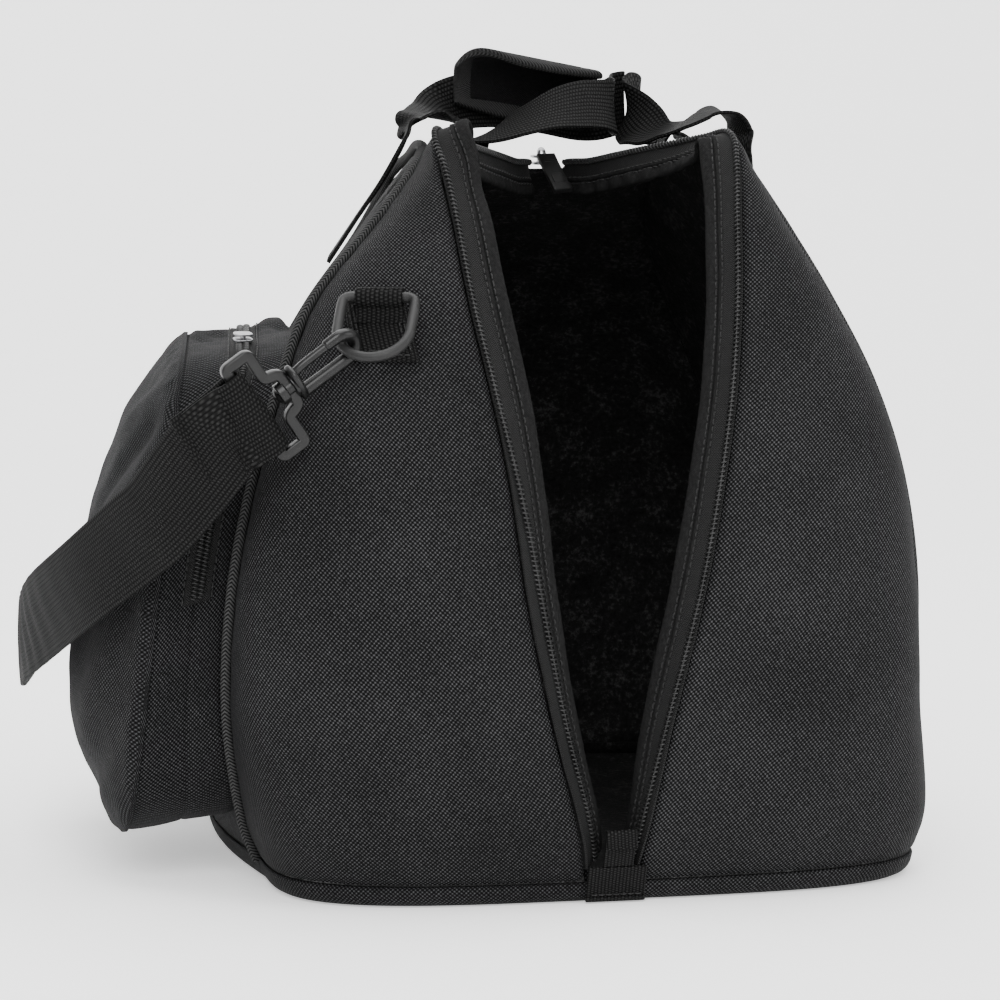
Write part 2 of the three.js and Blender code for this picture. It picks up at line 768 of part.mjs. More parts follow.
function pocketOutline(inset) {
  const fine = [];
  for (let i = 0; i <= 240; i++) {
    const angle = 2 * Math.PI * i / 240;
    const c = Math.cos(angle);
    const s = Math.sin(angle);
    fine.push(V(
      0,
      pocketMiddle.y - Math.sign(c) * Math.sqrt(Math.abs(c)) * (pocketHalf.y - inset),
      pocketMiddle.z + Math.sign(s) * Math.sqrt(Math.abs(s)) * (pocketHalf.z - inset),
    ));
  }
  return resample(fine, pocketSteps).slice(0, pocketSteps);
}

// How far out the face's rim lies: less at the back and toward the top.
function rimX(p) {
  const back = (p.y - pocketMiddle.y + pocketHalf.y) / (2 * pocketHalf.y);
  const rise = (p.z - pocketLow) / (pocketHigh - pocketLow);
  const near = pocketOut - 24 * rise;
  const far = near - 12 - 17 * rise * rise;
  return -(near + (far - near) * back);
}

const outlineOuter = pocketOutline(0);
const outlineInner = pocketOutline(pocketWall);

// How far the pocket has dropped at its face: most at the front.
function drop(y) {
  return pocketSag * (pocketMiddle.y + pocketHalf.y - y) / (2 * pocketHalf.y);
}

// Cross-section of the pocket's gusset at share w of its depth.
function pocketAt(p, w) {
  const from = sideX(p.y, p.z) - clearance - 0.5;
  const to = rimX(p) + pocketWall + clearance;
  return V(from + (to - from) * w, p.y, p.z - drop(p.y) * w);
}
const gussetOuter = [0, 0.5, 1].map((w) => outlineOuter.map((p) => pocketAt(p, w)));
const gussetInner = [0, 0.5, 1].map((w) => outlineInner.map((p) => pocketAt(p, w)));

const pocket = new THREE.Group();
pocket.name = "side_pocket";
bag.add(pocket);
pocket.add(piece("pocket_gusset", sheet(gussetOuter, gussetInner, true), cloth));

const faceRings = [1, 0.86, 0.62, 0.32, 0];
function pocketFace(offset) {
  return faceRings.map((share) => outlineOuter.map((p) => {
    const y = pocketMiddle.y + (p.y - pocketMiddle.y) * share;
    const z = pocketMiddle.z + (p.z - pocketMiddle.z) * share;
    const belly = pocketBelly * (1 - Math.pow(share, 2.4));
    return V(rimX(V(0, y, z)) - belly + offset, y, z - drop(y));
  }));
}
pocket.add(piece("pocket_face", sheet(pocketFace(0), pocketFace(pocketWall), true), cloth));

// Zip of the pocket: up the front of its gusset, over the top and half way down the back.
const zipWidth = 14;
const zipOutline = [
  [-zipWidth / 2, clearance],
  [zipWidth / 2, clearance],
  [zipWidth / 2, clearance + tapeThick],
  [2.4, clearance + tapeThick],
  [2, clearance + tapeThick + 1],
  [-2, clearance + tapeThick + 1],
  [-2.4, clearance + tapeThick],
  [-zipWidth / 2, clearance + tapeThick],
];
const zipShare = 0.46;
const zipSpan = Math.floor(pocketSteps / 2);
const zipSections = [];
for (let i = 0; i <= zipSpan; i++) {
  const p = outlineOuter[i];
  const before = outlineOuter[(i + pocketSteps - 1) % pocketSteps];
  const after = outlineOuter[i + 1];
  const run = after.clone().sub(before).normalize();
  const out = V(0, -run.z, run.y);
  if (out.dot(p.clone().sub(pocketMiddle)) < 0) out.negate();
  const depth = pocketAt(p, 1).distanceTo(pocketAt(p, 0));
  zipSections.push(zipOutline.map(([x, h]) => pocketAt(p, zipShare + x / depth).addScaledVector(out, h)));
}
pocket.add(piece("pocket_zip", sweep(zipSections), zipCloth));

const sliderAt = outlineOuter[7];
const pocketSlider = pocketAt(sliderAt, zipShare).add(V(0, 0, 2 * clearance + tapeThick + 1 + 2.4));
pocket.add(piece("pocket_slider", block(9, 11, 4, 1, pocketSlider), metal));

// Hardware at one end of the strap, in directions of its own: the ring's patch on the body,
// the ring itself, and a swivel hook whose bar holds the strap.
function patchOn(side, t, d) {
  const rows = [-0.34, -0.1, 0.14, 0.38].map((step) => t + step);
  const cols = [-13.5, -4.5, 4.5, 13.5].map((step) => d + step);
  const at = (off) => rows.map((row) => cols.map((col) => {
    const { point, out } = gussetFrame(side, row, col);
    return point.addScaledVector(out, off);
  }));
  return sheet(at(clearance + 0.5 + webThick), at(clearance + 0.5));
}

// Point in a frame of three directions.
function framePoint(origin, a, b, c, x, y, z) {
  return origin.clone().addScaledVector(a, x).addScaledVector(b, y).addScaledVector(c, z);
}

function arc(from, to, steps, radiusX, radiusY, middle = [0, 0]) {
  const points = [];
  for (let i = 0; i <= steps; i++) {
    const angle = from + (to - from) * i / steps;
    points.push([middle[0] + radiusX * Math.cos(angle), middle[1] + radiusY * Math.sin(angle)]);
  }
  return points;
}

const ringHalf = ringInner / 2 + ringWire;
const ringDrop = 18;
const hookReach = 48;

function hanger(name, side, t, d, pull, facing, turn) {
  const { point, across, up, out } = gussetFrame(side, t, d);
  if (up.z < 0) up.negate();
  const keepOut = clearance + 0.5 + webThick + ringWire + clearance + webThick - 0.9;
  const barAt = point.clone().addScaledVector(up, 13).addScaledVector(out, keepOut);

  // The keeper is a sleeve round the ring's bar, joined to the patch.
  const sleeve = [-1, 1].map((end) => end * (ringInner / 2 - 3));
  const hole = ringWire + clearance;
  const rim = hole + webThick;
  const round = arc(0, 2 * Math.PI, 12, 1, 1).slice(0, 12);
  const tubeRings = [
    [sleeve[0], rim], [sleeve[1], rim], [sleeve[1], hole], [sleeve[0], hole],
  ].map(([x, radius]) => round.map(([c, s]) => (
    framePoint(barAt, across, up, out, x, radius * c, radius * s)
  )));
  const keeper = sweep(tubeRings, true);
  const patch = piece(`ring_patch_${name}`, joined([patchOn(side, t, d), keeper]), webbing);

  // The ring hangs from its bar toward the pull, leaning a little off the body.
  const lean = THREE.MathUtils.degToRad(20);
  const down = up.clone().multiplyScalar(-Math.cos(lean)).addScaledVector(out, Math.sin(lean));
  const flat = [
    [0, 0],
    [ringHalf - 2.5, 0],
    [ringHalf - 0.75, 0.75],
    [ringHalf, 2.6],
    ...arc(0, Math.PI, 10, ringHalf, ringHalf, [0, ringDrop]),
    [-ringHalf, 2.6],
    [-ringHalf + 0.75, 0.75],
    [-ringHalf + 2.5, 0],
  ];
  const ringPath = flat.map(([x, y]) => framePoint(barAt, across, down, out, x, y, 0));
  const ring = piece(`d_ring_${name}`, wire(ringPath, ringWire, 6, true), plastic);

  // The hook runs along the pull from the ring's far side.
  const along = pull.clone().normalize();
  const face = facing.clone().addScaledVector(along, -facing.dot(along)).normalize();
  const cross = along.clone().cross(face).normalize();
  const toward = V(along.dot(across), along.dot(down), 0).normalize();
  const reach = [ringHalf * toward.x, ringDrop + ringHalf * toward.y];
  const touch = framePoint(barAt, across, down, out, reach[0], reach[1], 0);
  const tip = touch.clone().addScaledVector(along, -(ringWire + clearance + 0.1 + hookWire));
  const turned = THREE.MathUtils.degToRad(turn);
  const open = face.clone().multiplyScalar(Math.cos(turned)).addScaledVector(cross, Math.sin(turned));
  const closeUp = open.clone().cross(along);
  const loopHalf = 6.6;
  const loopLong = 30;
  const loopFlat = [
    ...arc(Math.PI / 2, 3 * Math.PI / 2, 6, loopHalf, loopHalf, [loopHalf, 0]),
    ...arc(-Math.PI / 2, Math.PI / 2, 6, loopHalf, loopHalf, [loopLong - loopHalf, 0]),
  ];
  const loopPath = loopFlat.map(([x, y]) => framePoint(tip, along, open, closeUp, x, y, 0));
  const loop = wire(loopPath, hookWire, 6, true);
  const barGap = 11;
  const barLine = hookReach + 3;
  const collar = wire(
    [loopLong - 1, loopLong + 3, barLine - barGap].map((x) => framePoint(tip, along, open, closeUp, x, 0, 0)),
    4.6, 8,
  );
  const half = strapWidth / 2 + 0.7 + barWire;
  const frameFlat = [
    [barLine - barGap, -half + 3],
    [barLine - barGap + 3, -half],
    [barLine - 1.5, -half],
    [barLine, -half + 1.5],
    [barLine, half - 1.5],
    [barLine - 1.5, half],
    [barLine - barGap + 3, half],
    [barLine - barGap, half - 3],
  ];
  const framePath = frameFlat.map(([x, y]) => framePoint(tip, along, cross, face, x, y, 0));
  const frame = wire(framePath, barWire, 6, true);
  const hook = piece(`snap_hook_${name}`, joined([loop, collar, frame]), plastic);
  const bar = framePoint(tip, along, cross, face, barLine, 0, 0);
  return { patch, ring, hook, bar, along, cross, face };
}

const carry = new THREE.Group();
carry.name = "carrying";
bag.add(carry);
const frontPull = V(-0.8, -0.05, -0.57);
const rearPull = V(-0.7, 0.36, -0.62);
const front = hanger("front", -1, 5.68, 39.5, frontPull, V(0.24, -0.97, -0.06), 64);
const rear = hanger("back", -1, 15.7, 44, rearPull, V(-0.3, 0.9, 0.3), 0);
for (const end of [front, rear]) {
  carry.add(end.patch);
  carry.add(end.ring);
  carry.add(end.hook);
}

// The strap folds back round each bar; the two layers lie close together.
function wrapRound(end) {
  const turn = barWire + clearance + 0.2 + strapThick / 2;
  const flat = [
    [30, -1.6], [20, -1.7], [9, -2.5], [3, -turn], [0, -turn], [-turn * 0.72, -turn * 0.72],
    [-turn, 0], [-turn * 0.72, turn * 0.72], [0, turn], [3, turn], [9, 2.5], [20, 1.7],
  ];
  return flat.map(([x, y]) => framePoint(end.bar, end.along, end.cross, end.face, x, 0, y));
}
const strapRun = [
  // x, y, z of the strap's middle, then the direction of its width
  [-186, -138, 166, 0.5, -0.3, -0.81],
  [-197, -122, 153, 0.45, -0.4, -0.8],
  [-216, -90, 131, 0.3, -0.5, -0.8],
  [-228, -48, 112, 0.2, -0.4, -0.9],
  [-232, -5, 97, 0, -0.3, -0.95],
  [-226, 45, 88, 0, 0, -1],
  [-211, 92, 92, -0.1, 0.3, -0.95],
  [-188, 128, 112, -0.3, 0.5, -0.8],
  [-158, 152, 142, -0.5, 0.45, -0.75],
];
const strapPoints = [
  ...wrapRound(front).map((p) => [p, front.cross]),
  ...strapRun.map(([x, y, z, a, b, c]) => [V(x, y, z), V(a, b, c).normalize()]),
  ...wrapRound(rear).reverse().map((p) => [p, rear.cross]),
];
const strapWidths = strapPoints.map(([, w]) => (w.z > 0 ? w.clone().negate() : w));
const strapSteps = 2 * (strapPoints.length - 1);
const strap = ribbonThrough(
  strapPoints.map(([p]) => p), strapWidths, strapSteps, strapWidth, strapThick,
);
carry.add(piece("shoulder_strap", strap, webbing));

// Handles. Each is one length of webbing from the front of the top to its back, and both
// run through the open grip wrap above the mouth.
function sewnOn(side, u, v, off) {
  const point = sidePoint(side, u, v);
  const along = sidePoint(side, u + 0.04, v).sub(sidePoint(side, u - 0.04, v)).normalize();
  const rise = sidePoint(side, u, Math.min(v + 0.04, 1)).sub(sidePoint(side, u, v - 0.04));
  const out = rise.cross(along).normalize();
  if (out.x * side < 0) out.negate();
  return [point.addScaledVector(out, off), along];
}

function sideEnd(side, u) {
  return [[0.8, 2.6], [0.87, 2.9], [0.93, 4.6]].map(([v, off]) => sewnOn(side, u, v, off));
}

function topEnd(places) {
  const at = (x, y) => V(x, y, topZ(x, y) + clearance + 1.1 + webThick / 2);
  return places.map(([x, y]) => [at(x, y), at(x + 4, y + 2.6).sub(at(x - 4, y - 2.6)).normalize()]);
}

// Middle of the webbing between its sewn ends, with z above the body's top,
// then the direction of its width.
const leftRun = [
  [-66.8, -42, -2, 0.18, 0.98, 0],
  [-65, -41.5, 3.5, 0, 0.98, 0],
  [-59, -37, 8, -0.25, 0.95, 0],
  [-52.5, -24, 9.5, -0.7, 0.65, 0.15],
  [-46.5, -7, 10.5, -0.8, 0.35, 0.35],
  [-42, 8, 11, -0.8, 0.3, 0.45],
  [-37, 17.6, 12.5, -0.5, 0.1, 0.8],
  [-27, 17.4, 15.5, 0, 0, 1],
  [-8, 17.3, 15, 0, 0, 1],
  [10, 17.3, 12, 0, 0, 1],
  [26, 17.6, 9, 0, 0, 1],
  [36, 17, 10, 0, 0, 1],
  [42.5, 12, 14.5, 0, 0, 1],
  [42.5, 5.5, 15.5, 0, 0, 1],
  [37, 1.5, 14.5, 0, 0, 1],
  [34, -6, 13, 0, 0, 1],
  [33, -15, 12, 0, 0.1, 1],
  [30.5, -22, 12.2, 0, 0.4, 0.92],
  [24, -26.5, 13, 0, 0.55, 0.83],
  [16, -28.5, 13, 0, 0.6, 0.8],
  [3, -30, 10.8, 0.05, 0.75, 0.65],
  [-8, -27.5, 7, 0.1, 0.85, 0.5],
  [-18, -21.5, 2.8, 0.25, 0.87, 0.4],
  [-26, -13.5, -0.5, 0.5, 0.82, 0.2],
  [-30.5, -5.5, -3.4, 0.7, 0.7, 0.05],
];
const rightRun = [
  [82.5, -46, -6, -0.18, 0.98, 0],
  [83, -46, 1, -0.18, 0.98, 0],
  [79.5, -45, 7.5, -0.1, 1, 0],
  [71.5, -43, 10, 0, 0.98, 0.1],
  [62.5, -39.5, 7.5, 0.15, 0.95, 0.1],
  [55, -33, 4, 0.3, 0.85, 0.3],
  [48, -24, 5, 0.2, 0.55, 0.8],
  [43.5, -14, 9, 0, 0.15, 1],
  [41, -6.5, 12.5, 0, 0, 1],
  [44.5, -0.5, 15, 0, 0, 1],
  [48.5, 4, 13.5, 0, 0.1, 1],
  [49.8, 9, 8, 0, 0.25, 0.97],
  [52.5, 13.5, 1, -0.15, 0.7, 0.6],
  [58.5, 15, -3, -0.25, 0.95, 0.1],
  [66, 12.5, 0, -0.2, 0.95, 0.1],
  [73.5, 12, -5, 0, 1, 0],
];

function handle(start, run, end) {
  const points = [
    ...start,
    ...run.map(([x, y, z, a, b, c]) => [V(x, y, height + z), V(a, b, c).normalize()]),
    ...[...end].reverse(),
  ];
  const steps = 2 * (points.length - 1);
  return ribbonThrough(points.map(([p]) => p), points.map(([, w]) => w), steps, webWidth, webThick);
}
const handles = new THREE.Group();
handles.name = "handles";
bag.add(handles);
const leftEnd = topEnd([[-40, 20], [-36.5, 12.5], [-33, 4]]);
const leftHandle = handle(sideEnd(-1, 0.46), leftRun, leftEnd);
const rightHandle = handle(sideEnd(1, 0.46), rightRun, sideEnd(1, 0.78));
handles.add(piece("handle_left", leftHandle, webbing));
handles.add(piece("handle_right", rightHandle, webbing));

// Grip wrap: a padded half sleeve round the webbing, open to the front.
const gripRadius = 19;
const gripPad = 3.8;
const gripFrom = V(-34, -3, height + 21.5);
const gripTo = V(30, -3, height + 9);
function gripGrid(radius) {
  const grid = [];
  for (let i = 0; i <= 8; i++) {
    const share = i / 8;
    const nearEnd = Math.pow(Math.max(0, 1 - 2 * share), 2.5);
    const farEnd = Math.pow(Math.max(0, 2 * share - 1), 3);
    const from = THREE.MathUtils.degToRad(56 + 96 * nearEnd + 20 * farEnd);
    const to = THREE.MathUtils.degToRad(216 - 8 * nearEnd - 12 * farEnd);
    const row = [];
    for (let j = 0; j <= 10; j++) {
      const angle = from + (to - from) * j / 10;
      const middle = gripFrom.clone().lerp(gripTo, share);
      row.push(middle.add(V(0, -radius * Math.cos(angle), radius * Math.sin(angle))));
    }
    grid.push(row);
  }
  return grid;
}
handles.add(piece("grip_wrap", sheet(gripGrid(gripRadius), gripGrid(gripRadius - gripPad)), trim));

export default bag;
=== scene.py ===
# Dressed model of the soft bag: cloth shell, zipped mouth, side pocket, strap and handles.
# Lengths are in millimetres in the tables and turned to metres when a mesh is made.
import math

import bmesh
import bpy
import numpy as np
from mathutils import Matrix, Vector


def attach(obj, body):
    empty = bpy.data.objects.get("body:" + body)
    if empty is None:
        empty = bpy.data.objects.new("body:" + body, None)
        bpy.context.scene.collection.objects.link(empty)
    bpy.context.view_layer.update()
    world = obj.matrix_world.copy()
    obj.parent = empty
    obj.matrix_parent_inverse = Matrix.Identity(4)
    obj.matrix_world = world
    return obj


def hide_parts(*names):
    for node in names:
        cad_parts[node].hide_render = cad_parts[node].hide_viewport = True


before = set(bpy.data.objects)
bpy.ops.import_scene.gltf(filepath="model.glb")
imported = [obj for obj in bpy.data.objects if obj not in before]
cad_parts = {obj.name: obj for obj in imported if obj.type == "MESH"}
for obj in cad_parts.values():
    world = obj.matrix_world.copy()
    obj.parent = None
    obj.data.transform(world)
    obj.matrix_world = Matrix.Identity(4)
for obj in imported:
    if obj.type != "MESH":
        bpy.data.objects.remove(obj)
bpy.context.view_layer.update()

MM = 0.001

# Sizes of the body and its trim
half_width = 148
half_depth = 178
height = 318
mouth_half = 66
wall = 4
side_bulge = 9
base_bulge = 8
piping_radius = 2.3
tape_thick = 1.0
chain_pitch = 2.0
web_width = 25
web_thick = 1.7
strap_width = 38
strap_thick = 1.6
ring_inner = 26
ring_wire = 2.2
pocket_front = 106
pocket_back = 92
pocket_low = 23
pocket_high = 232
pocket_out = 200
pocket_belly = 28
pocket_wall = 2.4
pocket_sag = 8
clearance = 0.4

# Stations from the front of the base over the top and down the back.
# ex ey ez = zip line as shares of the sizes, shift = its sway, px py pz = side seam,
# lean = its sway, round = corner exponent, lip = turn of the zip tape in degrees,
# chain = place of the chain on its tape.
columns = [
    "ex", "ey", "ez", "shift", "px", "py", "pz", "lean", "round",
    "lip_left", "lip_right", "chain_left", "chain_right",
]
stations = [
    [0.170, -0.904, 0.028, -2.25, 0.960, -0.483, 0.031, 3.0, 3.4, 62, 86, 4.5, 3.0],
    [0.239, -0.955, 0.104, -2.75, 0.998, -0.534, 0.104, 0.0, 3.2, 56, 74, 4.5, 2.0],
    [0.409, -0.983, 0.252, -4.50, 1.007, -0.629, 0.252, -6.5, 2.9, 46, 56, 4.4, 0.6],
    [0.580, -0.978, 0.409, -3.25, 0.993, -0.663, 0.409, -6.5, 2.6, 34, 44, 4.0, 0.0],
    [0.696, -0.944, 0.550, -1.05, 0.940, -0.663, 0.550, -5.5, 2.5, 26, 40, 1.4, 0.0],
    [0.803, -0.882, 0.673, 0.0, 0.859, -0.629, 0.673, -5.0, 2.4, 10, 40, 0.0, 0.0],
    [0.894, -0.798, 0.786, 0.0, 0.750, -0.579, 0.786, -5.5, 2.3, 2, 40, 0.0, 0.0],
    [0.955, -0.697, 0.893, 0.5, 0.602, -0.506, 0.884, 0.5, 2.2, 8, 40, 0.0, 0.0],
    [1.000, -0.607, 0.962, 1.0, 0.504, -0.427, 0.950, 4.0, 1.8, 38, 42, 0.0, 0.0],
    [1.000, -0.517, 1.000, 1.5, 0.480, -0.337, 0.969, 6.5, 1.4, 56, 48, 0.0, 0.0],
    [0.879, -0.404, 0.997, 2.0, 0.443, -0.225, 0.978, 6.5, 1.1, 64, 60, 0.0, 0.0],
    [0.561, -0.213, 0.981, 4.0, 0.416, -0.056, 0.978, 6.5, 1.0, 74, 74, 0.0, 0.0],
    [0.303, -0.042, 0.965, 6.5, 0.395, 0.112, 0.962, 6.0, 1.0, 82, 82, 0.0, 0.0],
    [0.121, 0.112, 0.953, 8.0, 0.412, 0.253, 0.934, 5.0, 1.0, 88, 88, 0.0, 0.0],
    [0.121, 0.421, 0.881, 6.0, 0.473, 0.461, 0.843, 4.0, 1.1, 88, 88, 0.0, 0.0],
    [0.121, 0.702, 0.780, 3.0, 0.588, 0.607, 0.742, 3.0, 1.6, 88, 88, 0.0, 0.0],
    [0.121, 0.888, 0.640, 1.5, 0.743, 0.674, 0.597, 2.0, 2.1, 88, 88, 0.0, 0.0],
    [0.121, 0.989, 0.459, 0.5, 0.858, 0.697, 0.456, 1.0, 2.4, 88, 88, 0.0, 0.0],
    [0.121, 0.994, 0.291, 0.0, 0.912, 0.663, 0.314, 0.0, 2.6, 88, 88, 0.0, 0.0],
    [0.121, 0.955, 0.138, 0.0, 0.932, 0.584, 0.157, 0.0, 2.8, 88, 88, 0.0, 0.0],
    [0.121, 0.899, 0.028, 0.0, 0.926, 0.517, 0.031, 0.0, 3.0, 88, 88, 0.0, 0.0],
]
mouth_end = 13
last_station = len(stations) - 1
column = {name: np.array([row[i] for row in stations], float) for i, name in enumerate(columns)}


def vec(*numbers):
    return np.array(numbers, float)


def unit(v):
    v = np.asarray(v, float)
    return v / np.maximum(np.linalg.norm(v, axis=-1, keepdims=True), 1e-9)


# Catmull-Rom through a list of numbers or points, at places t in list steps.
def smooth(values, t):
    values = np.asarray(values, float)
    t = np.asarray(t, float)
    last = len(values) - 1
    i = np.clip(np.floor(t).astype(int), 0, last - 1)
    f = t - i
    if values.ndim > 1:
        f = f[..., None]
    b = values[i]
    c = values[i + 1]
    inside_low = (i > 0) if values.ndim == 1 else (i > 0)[..., None]
    inside_high = (i + 2 <= last) if values.ndim == 1 else (i + 2 <= last)[..., None]
    a = np.where(inside_low, values[np.maximum(i - 1, 0)], 2 * b - c)
    d = np.where(inside_high, values[np.minimum(i + 2, last)], 2 * c - b)
    m0 = (c - a) / 2
    m1 = (d - b) / 2
    return (
        b * (2 * f**3 - 3 * f**2 + 1) + m0 * (f**3 - 2 * f**2 + f)
        + c * (3 * f**2 - 2 * f**3) + m1 * (f**3 - f**2)
    )


# Smooth step of x from 0 at low to 1 at high.
def step(low, high, x):
    f = np.clip((np.asarray(x, float) - low) / (high - low), 0, 1)
    return f * f * (3 - 2 * f)


# Points of the zip line, side -1 left or 1 right, at stations t.
def edge_point(side, t):
    return np.stack([
        side * smooth(column["ex"], t) * mouth_half + smooth(column["shift"], t),
        smooth(column["ey"], t) * half_depth,
        smooth(column["ez"], t) * height,
    ], -1)


# Points of the side seam.
def seam_point(side, t):
    return np.stack([
        side * smooth(column["px"], t) * half_width + smooth(column["lean"], t),
        smooth(column["py"], t) * half_depth,
        smooth(column["pz"], t) * height,
    ], -1)


# Fine points of the rows from the zip line round to the side seam: (rows, 129, 3).
def row_points(side, t):
    t = np.atleast_1d(t)
    start = edge_point(side, t)[:, None, :]
    end = seam_point(side, t)[:, None, :]
    power = (2 / smooth(column["round"], t))[:, None]
    angle = np.linspace(0, math.pi / 2, 129)[None, :]
    a = np.sin(angle) ** power
    b = 1 - np.maximum(np.cos(angle), 0) ** power
    share = np.stack([a, b, (a + b) / 2], -1)
    share[:, 0] = 0
    share[:, -1] = 1
    return start + (end - start) * share


def lengths(points):
    gaps = np.linalg.norm(np.diff(points, axis=0), axis=1)
    return np.concatenate([[0], np.cumsum(gaps)])


# Values that go with the lengths of a run, read at the wanted lengths.
def along_run(run, values, wanted):
    return np.stack([np.interp(wanted, run, values[:, k]) for k in range(3)], -1)


def at_lengths(points, wanted):
    return along_run(lengths(points), points, wanted)


# Bell-shaped share, 1 at distance 0.
def bell(distance, breadth):
    return np.exp(-((distance / breadth) ** 2))


# Grid over the gusset: rows at stations t, columns at shares of each row's length.
# Also the distance of each point from the zip line and from the side seam.
def gusset_grid(side, t, shares):
    rows = row_points(side, t)
    grid = []
    from_zip = []
    from_seam = []
    for row in rows:
        run = lengths(row)
        grid.append(at_lengths(row, shares * run[-1]))
        from_zip.append(shares * run[-1])
        from_seam.append((1 - shares) * run[-1])
    return np.array(grid), np.array(from_zip), np.array(from_seam)


# Point and directions on the gusset, d mm round from the zip line at station t.
def gusset_frame(side, t, d):
    row = row_points(side, t)[0]
    point = at_lengths(row, d)
    across = unit(at_lengths(row, d + 2) - at_lengths(row, max(d - 2, 0)))
    low = at_lengths(row_points(side, max(t - 0.1, 0))[0], d)
    high = at_lengths(row_points(side, min(t + 0.1, last_station))[0], d)
    out = unit(np.cross(across, unit(high - low)) * side)
    up = unit(np.cross(out, across) * side)
    return point, across, up, out


# Points of the side panel: share u from front to back, v from the base to the top.
def side_point(side, u, v):
    u = np.asarray(u, float)
    v = np.asarray(v, float)
    top_from = mouth_end / 2 + 0.5
    front = lambda s: seam_point(side, top_from * s)
    back = lambda s: seam_point(side, last_station + (mouth_end - last_station) * s)
    top = lambda s: seam_point(side, top_from + (mouth_end - top_from) * s)
    zero = np.zeros_like(u)
    one = np.ones_like(u)
    a = u[..., None]
    b = v[..., None]
    base = front(zero) * (1 - a) + back(zero) * a
    base[..., 0] += side * base_bulge * np.sin(math.pi * u)
    point = (
        base * (1 - b) + top(u) * b + front(v) * (1 - a) + back(v) * a
        - front(zero) * (1 - a) * (1 - b) - back(zero) * a * (1 - b)
        - front(one) * (1 - a) * b - back(one) * a * b
    )
    point[..., 0] += side * side_bulge * np.sin(math.pi * u) * np.sin(math.pi * v**0.8)
    return point


# Normals of a grid, turned away from a centre.
def grid_normals(grid, centre):
    along = np.gradient(grid, axis=0)
    across = np.gradient(grid, axis=1)
    normal = unit(np.cross(along, across))
    middle = normal[grid.shape[0] // 2, grid.shape[1] // 2]
    spot = grid[grid.shape[0] // 2, grid.shape[1] // 2]
    if np.dot(middle, spot - centre) < 0:
        normal = -normal
    return normal


# Soft undulation of cloth, the same in every run.
def undulate(points, seed, reach=60, size=1.0):
    random = np.random.default_rng(seed)
    total = np.zeros(points.shape[:-1])
    for _ in range(7):
        direction = unit(random.normal(size=3))
        length = reach * random.uniform(0.6, 1.7)
        phase = random.uniform(0, 2 * math.pi)
        total += np.sin(points @ direction * 2 * math.pi / length + phase) * length / reach
    return total * size / 4


# Folds in the cloth: from one point to another, height (minus = hollow) and half breadth.
folds = [
    # x, y, z, x, y, z, height, breadth
    [-124, -140, 92, -66, -170, 46, -3.2, 9],
    [-132, -135, 116, -92, -160, 60, 2.4, 11],
    [-70, -168, 150, -96, -158, 70, 1.6, 14],
    [96, -160, 128, 40, -172, 66, -3.0, 10],
    [106, -152, 146, 52, -170, 92, 2.4, 12],
    [118, -142, 92, 70, -166, 40, 1.8, 12],
    [62, -160, 196, 92, -146, 150, 1.4, 13],
    [-84, -140, 226, -104, -140, 168, -1.4, 12],
    [132, -20, 60, 150, 60, 140, 2.0, 16],
    [150, -60, 150, 140, 20, 60, -1.6, 14],
    [0, 178, 140, 60, 172, 70, 2.2, 14],
    [-60, 172, 170, -10, 178, 90, -1.8, 13],
]


# Sum of the folds of a table: end_share of the height is left at a fold's two ends.
def fold_depth(points, table, end_share, margin):
    total = np.zeros(points.shape[:-1])
    size = points.shape[-1]
    for row in table:
        a = vec(*row[:size])
        run = vec(*row[size:2 * size]) - a
        depth, breadth = row[2 * size:]
        f = np.clip((points - a) @ run / (run @ run), 0, 1)
        gap = np.linalg.norm(points - (a + f[..., None] * run), axis=-1)
        taper = end_share + (1 - end_share) * np.sin(math.pi * np.clip(f, margin, 1 - margin))
        total += depth * taper * bell(gap, breadth)
    return total


# Mesh under construction: grids of quads with their own texture lengths.
class Mesh:
    def __init__(self):
        self.points = []
        self.faces = []
        self.uvs = []
        self.slots = []
        self.count = 0

    def grid(self, points, uv, slot=0, close=False, flip=False):
        rows, cols = points.shape[:2]
        start = self.count
        self.points.append(points.reshape(-1, 3))
        self.count += rows * cols
        wide = cols if close else cols - 1
        i, j = np.meshgrid(np.arange(rows - 1), np.arange(wide), indexing="ij")
        i = i.ravel()
        j = j.ravel()
        k = (j + 1) % cols
        quad = np.stack([i * cols + j, i * cols + k, (i + 1) * cols + k, (i + 1) * cols + j], 1)
        corner = np.stack([uv[i, j], uv[i, j + 1], uv[i + 1, j + 1], uv[i + 1, j]], 1)
        if flip:
            quad = quad[:, ::-1]
            corner = corner[:, ::-1]
        self.faces.append(quad + start)
        self.uvs.append(corner)
        self.slots.append(np.full(len(quad), slot))

    # Object of the mesh on the part's body; node says that a solid of that name gives way.
    def make(self, name, materials, sharp=40, node=True):
        points = np.concatenate(self.points) * MM
        faces = np.concatenate(self.faces)
        uvs = np.concatenate(self.uvs) * MM
        mesh = bpy.data.meshes.new(name)
        mesh.from_pydata(points.tolist(), [], faces.tolist())
        layer = mesh.uv_layers.new(name="cut")
        layer.data.foreach_set("uv", uvs.reshape(-1).astype(np.float32))
        mesh.polygons.foreach_set("material_index", np.concatenate(self.slots).astype(np.int32))
        for material in materials:
            mesh.materials.append(material)
        obj = bpy.data.objects.new(name, mesh)
        bpy.context.scene.collection.objects.link(obj)
        weld(mesh)
        mesh.polygons.foreach_set("use_smooth", [True] * len(mesh.polygons))
        mesh.set_sharp_from_angle(angle=math.radians(sharp))
        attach(obj, "root")
        if node:
            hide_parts(name)
        return obj


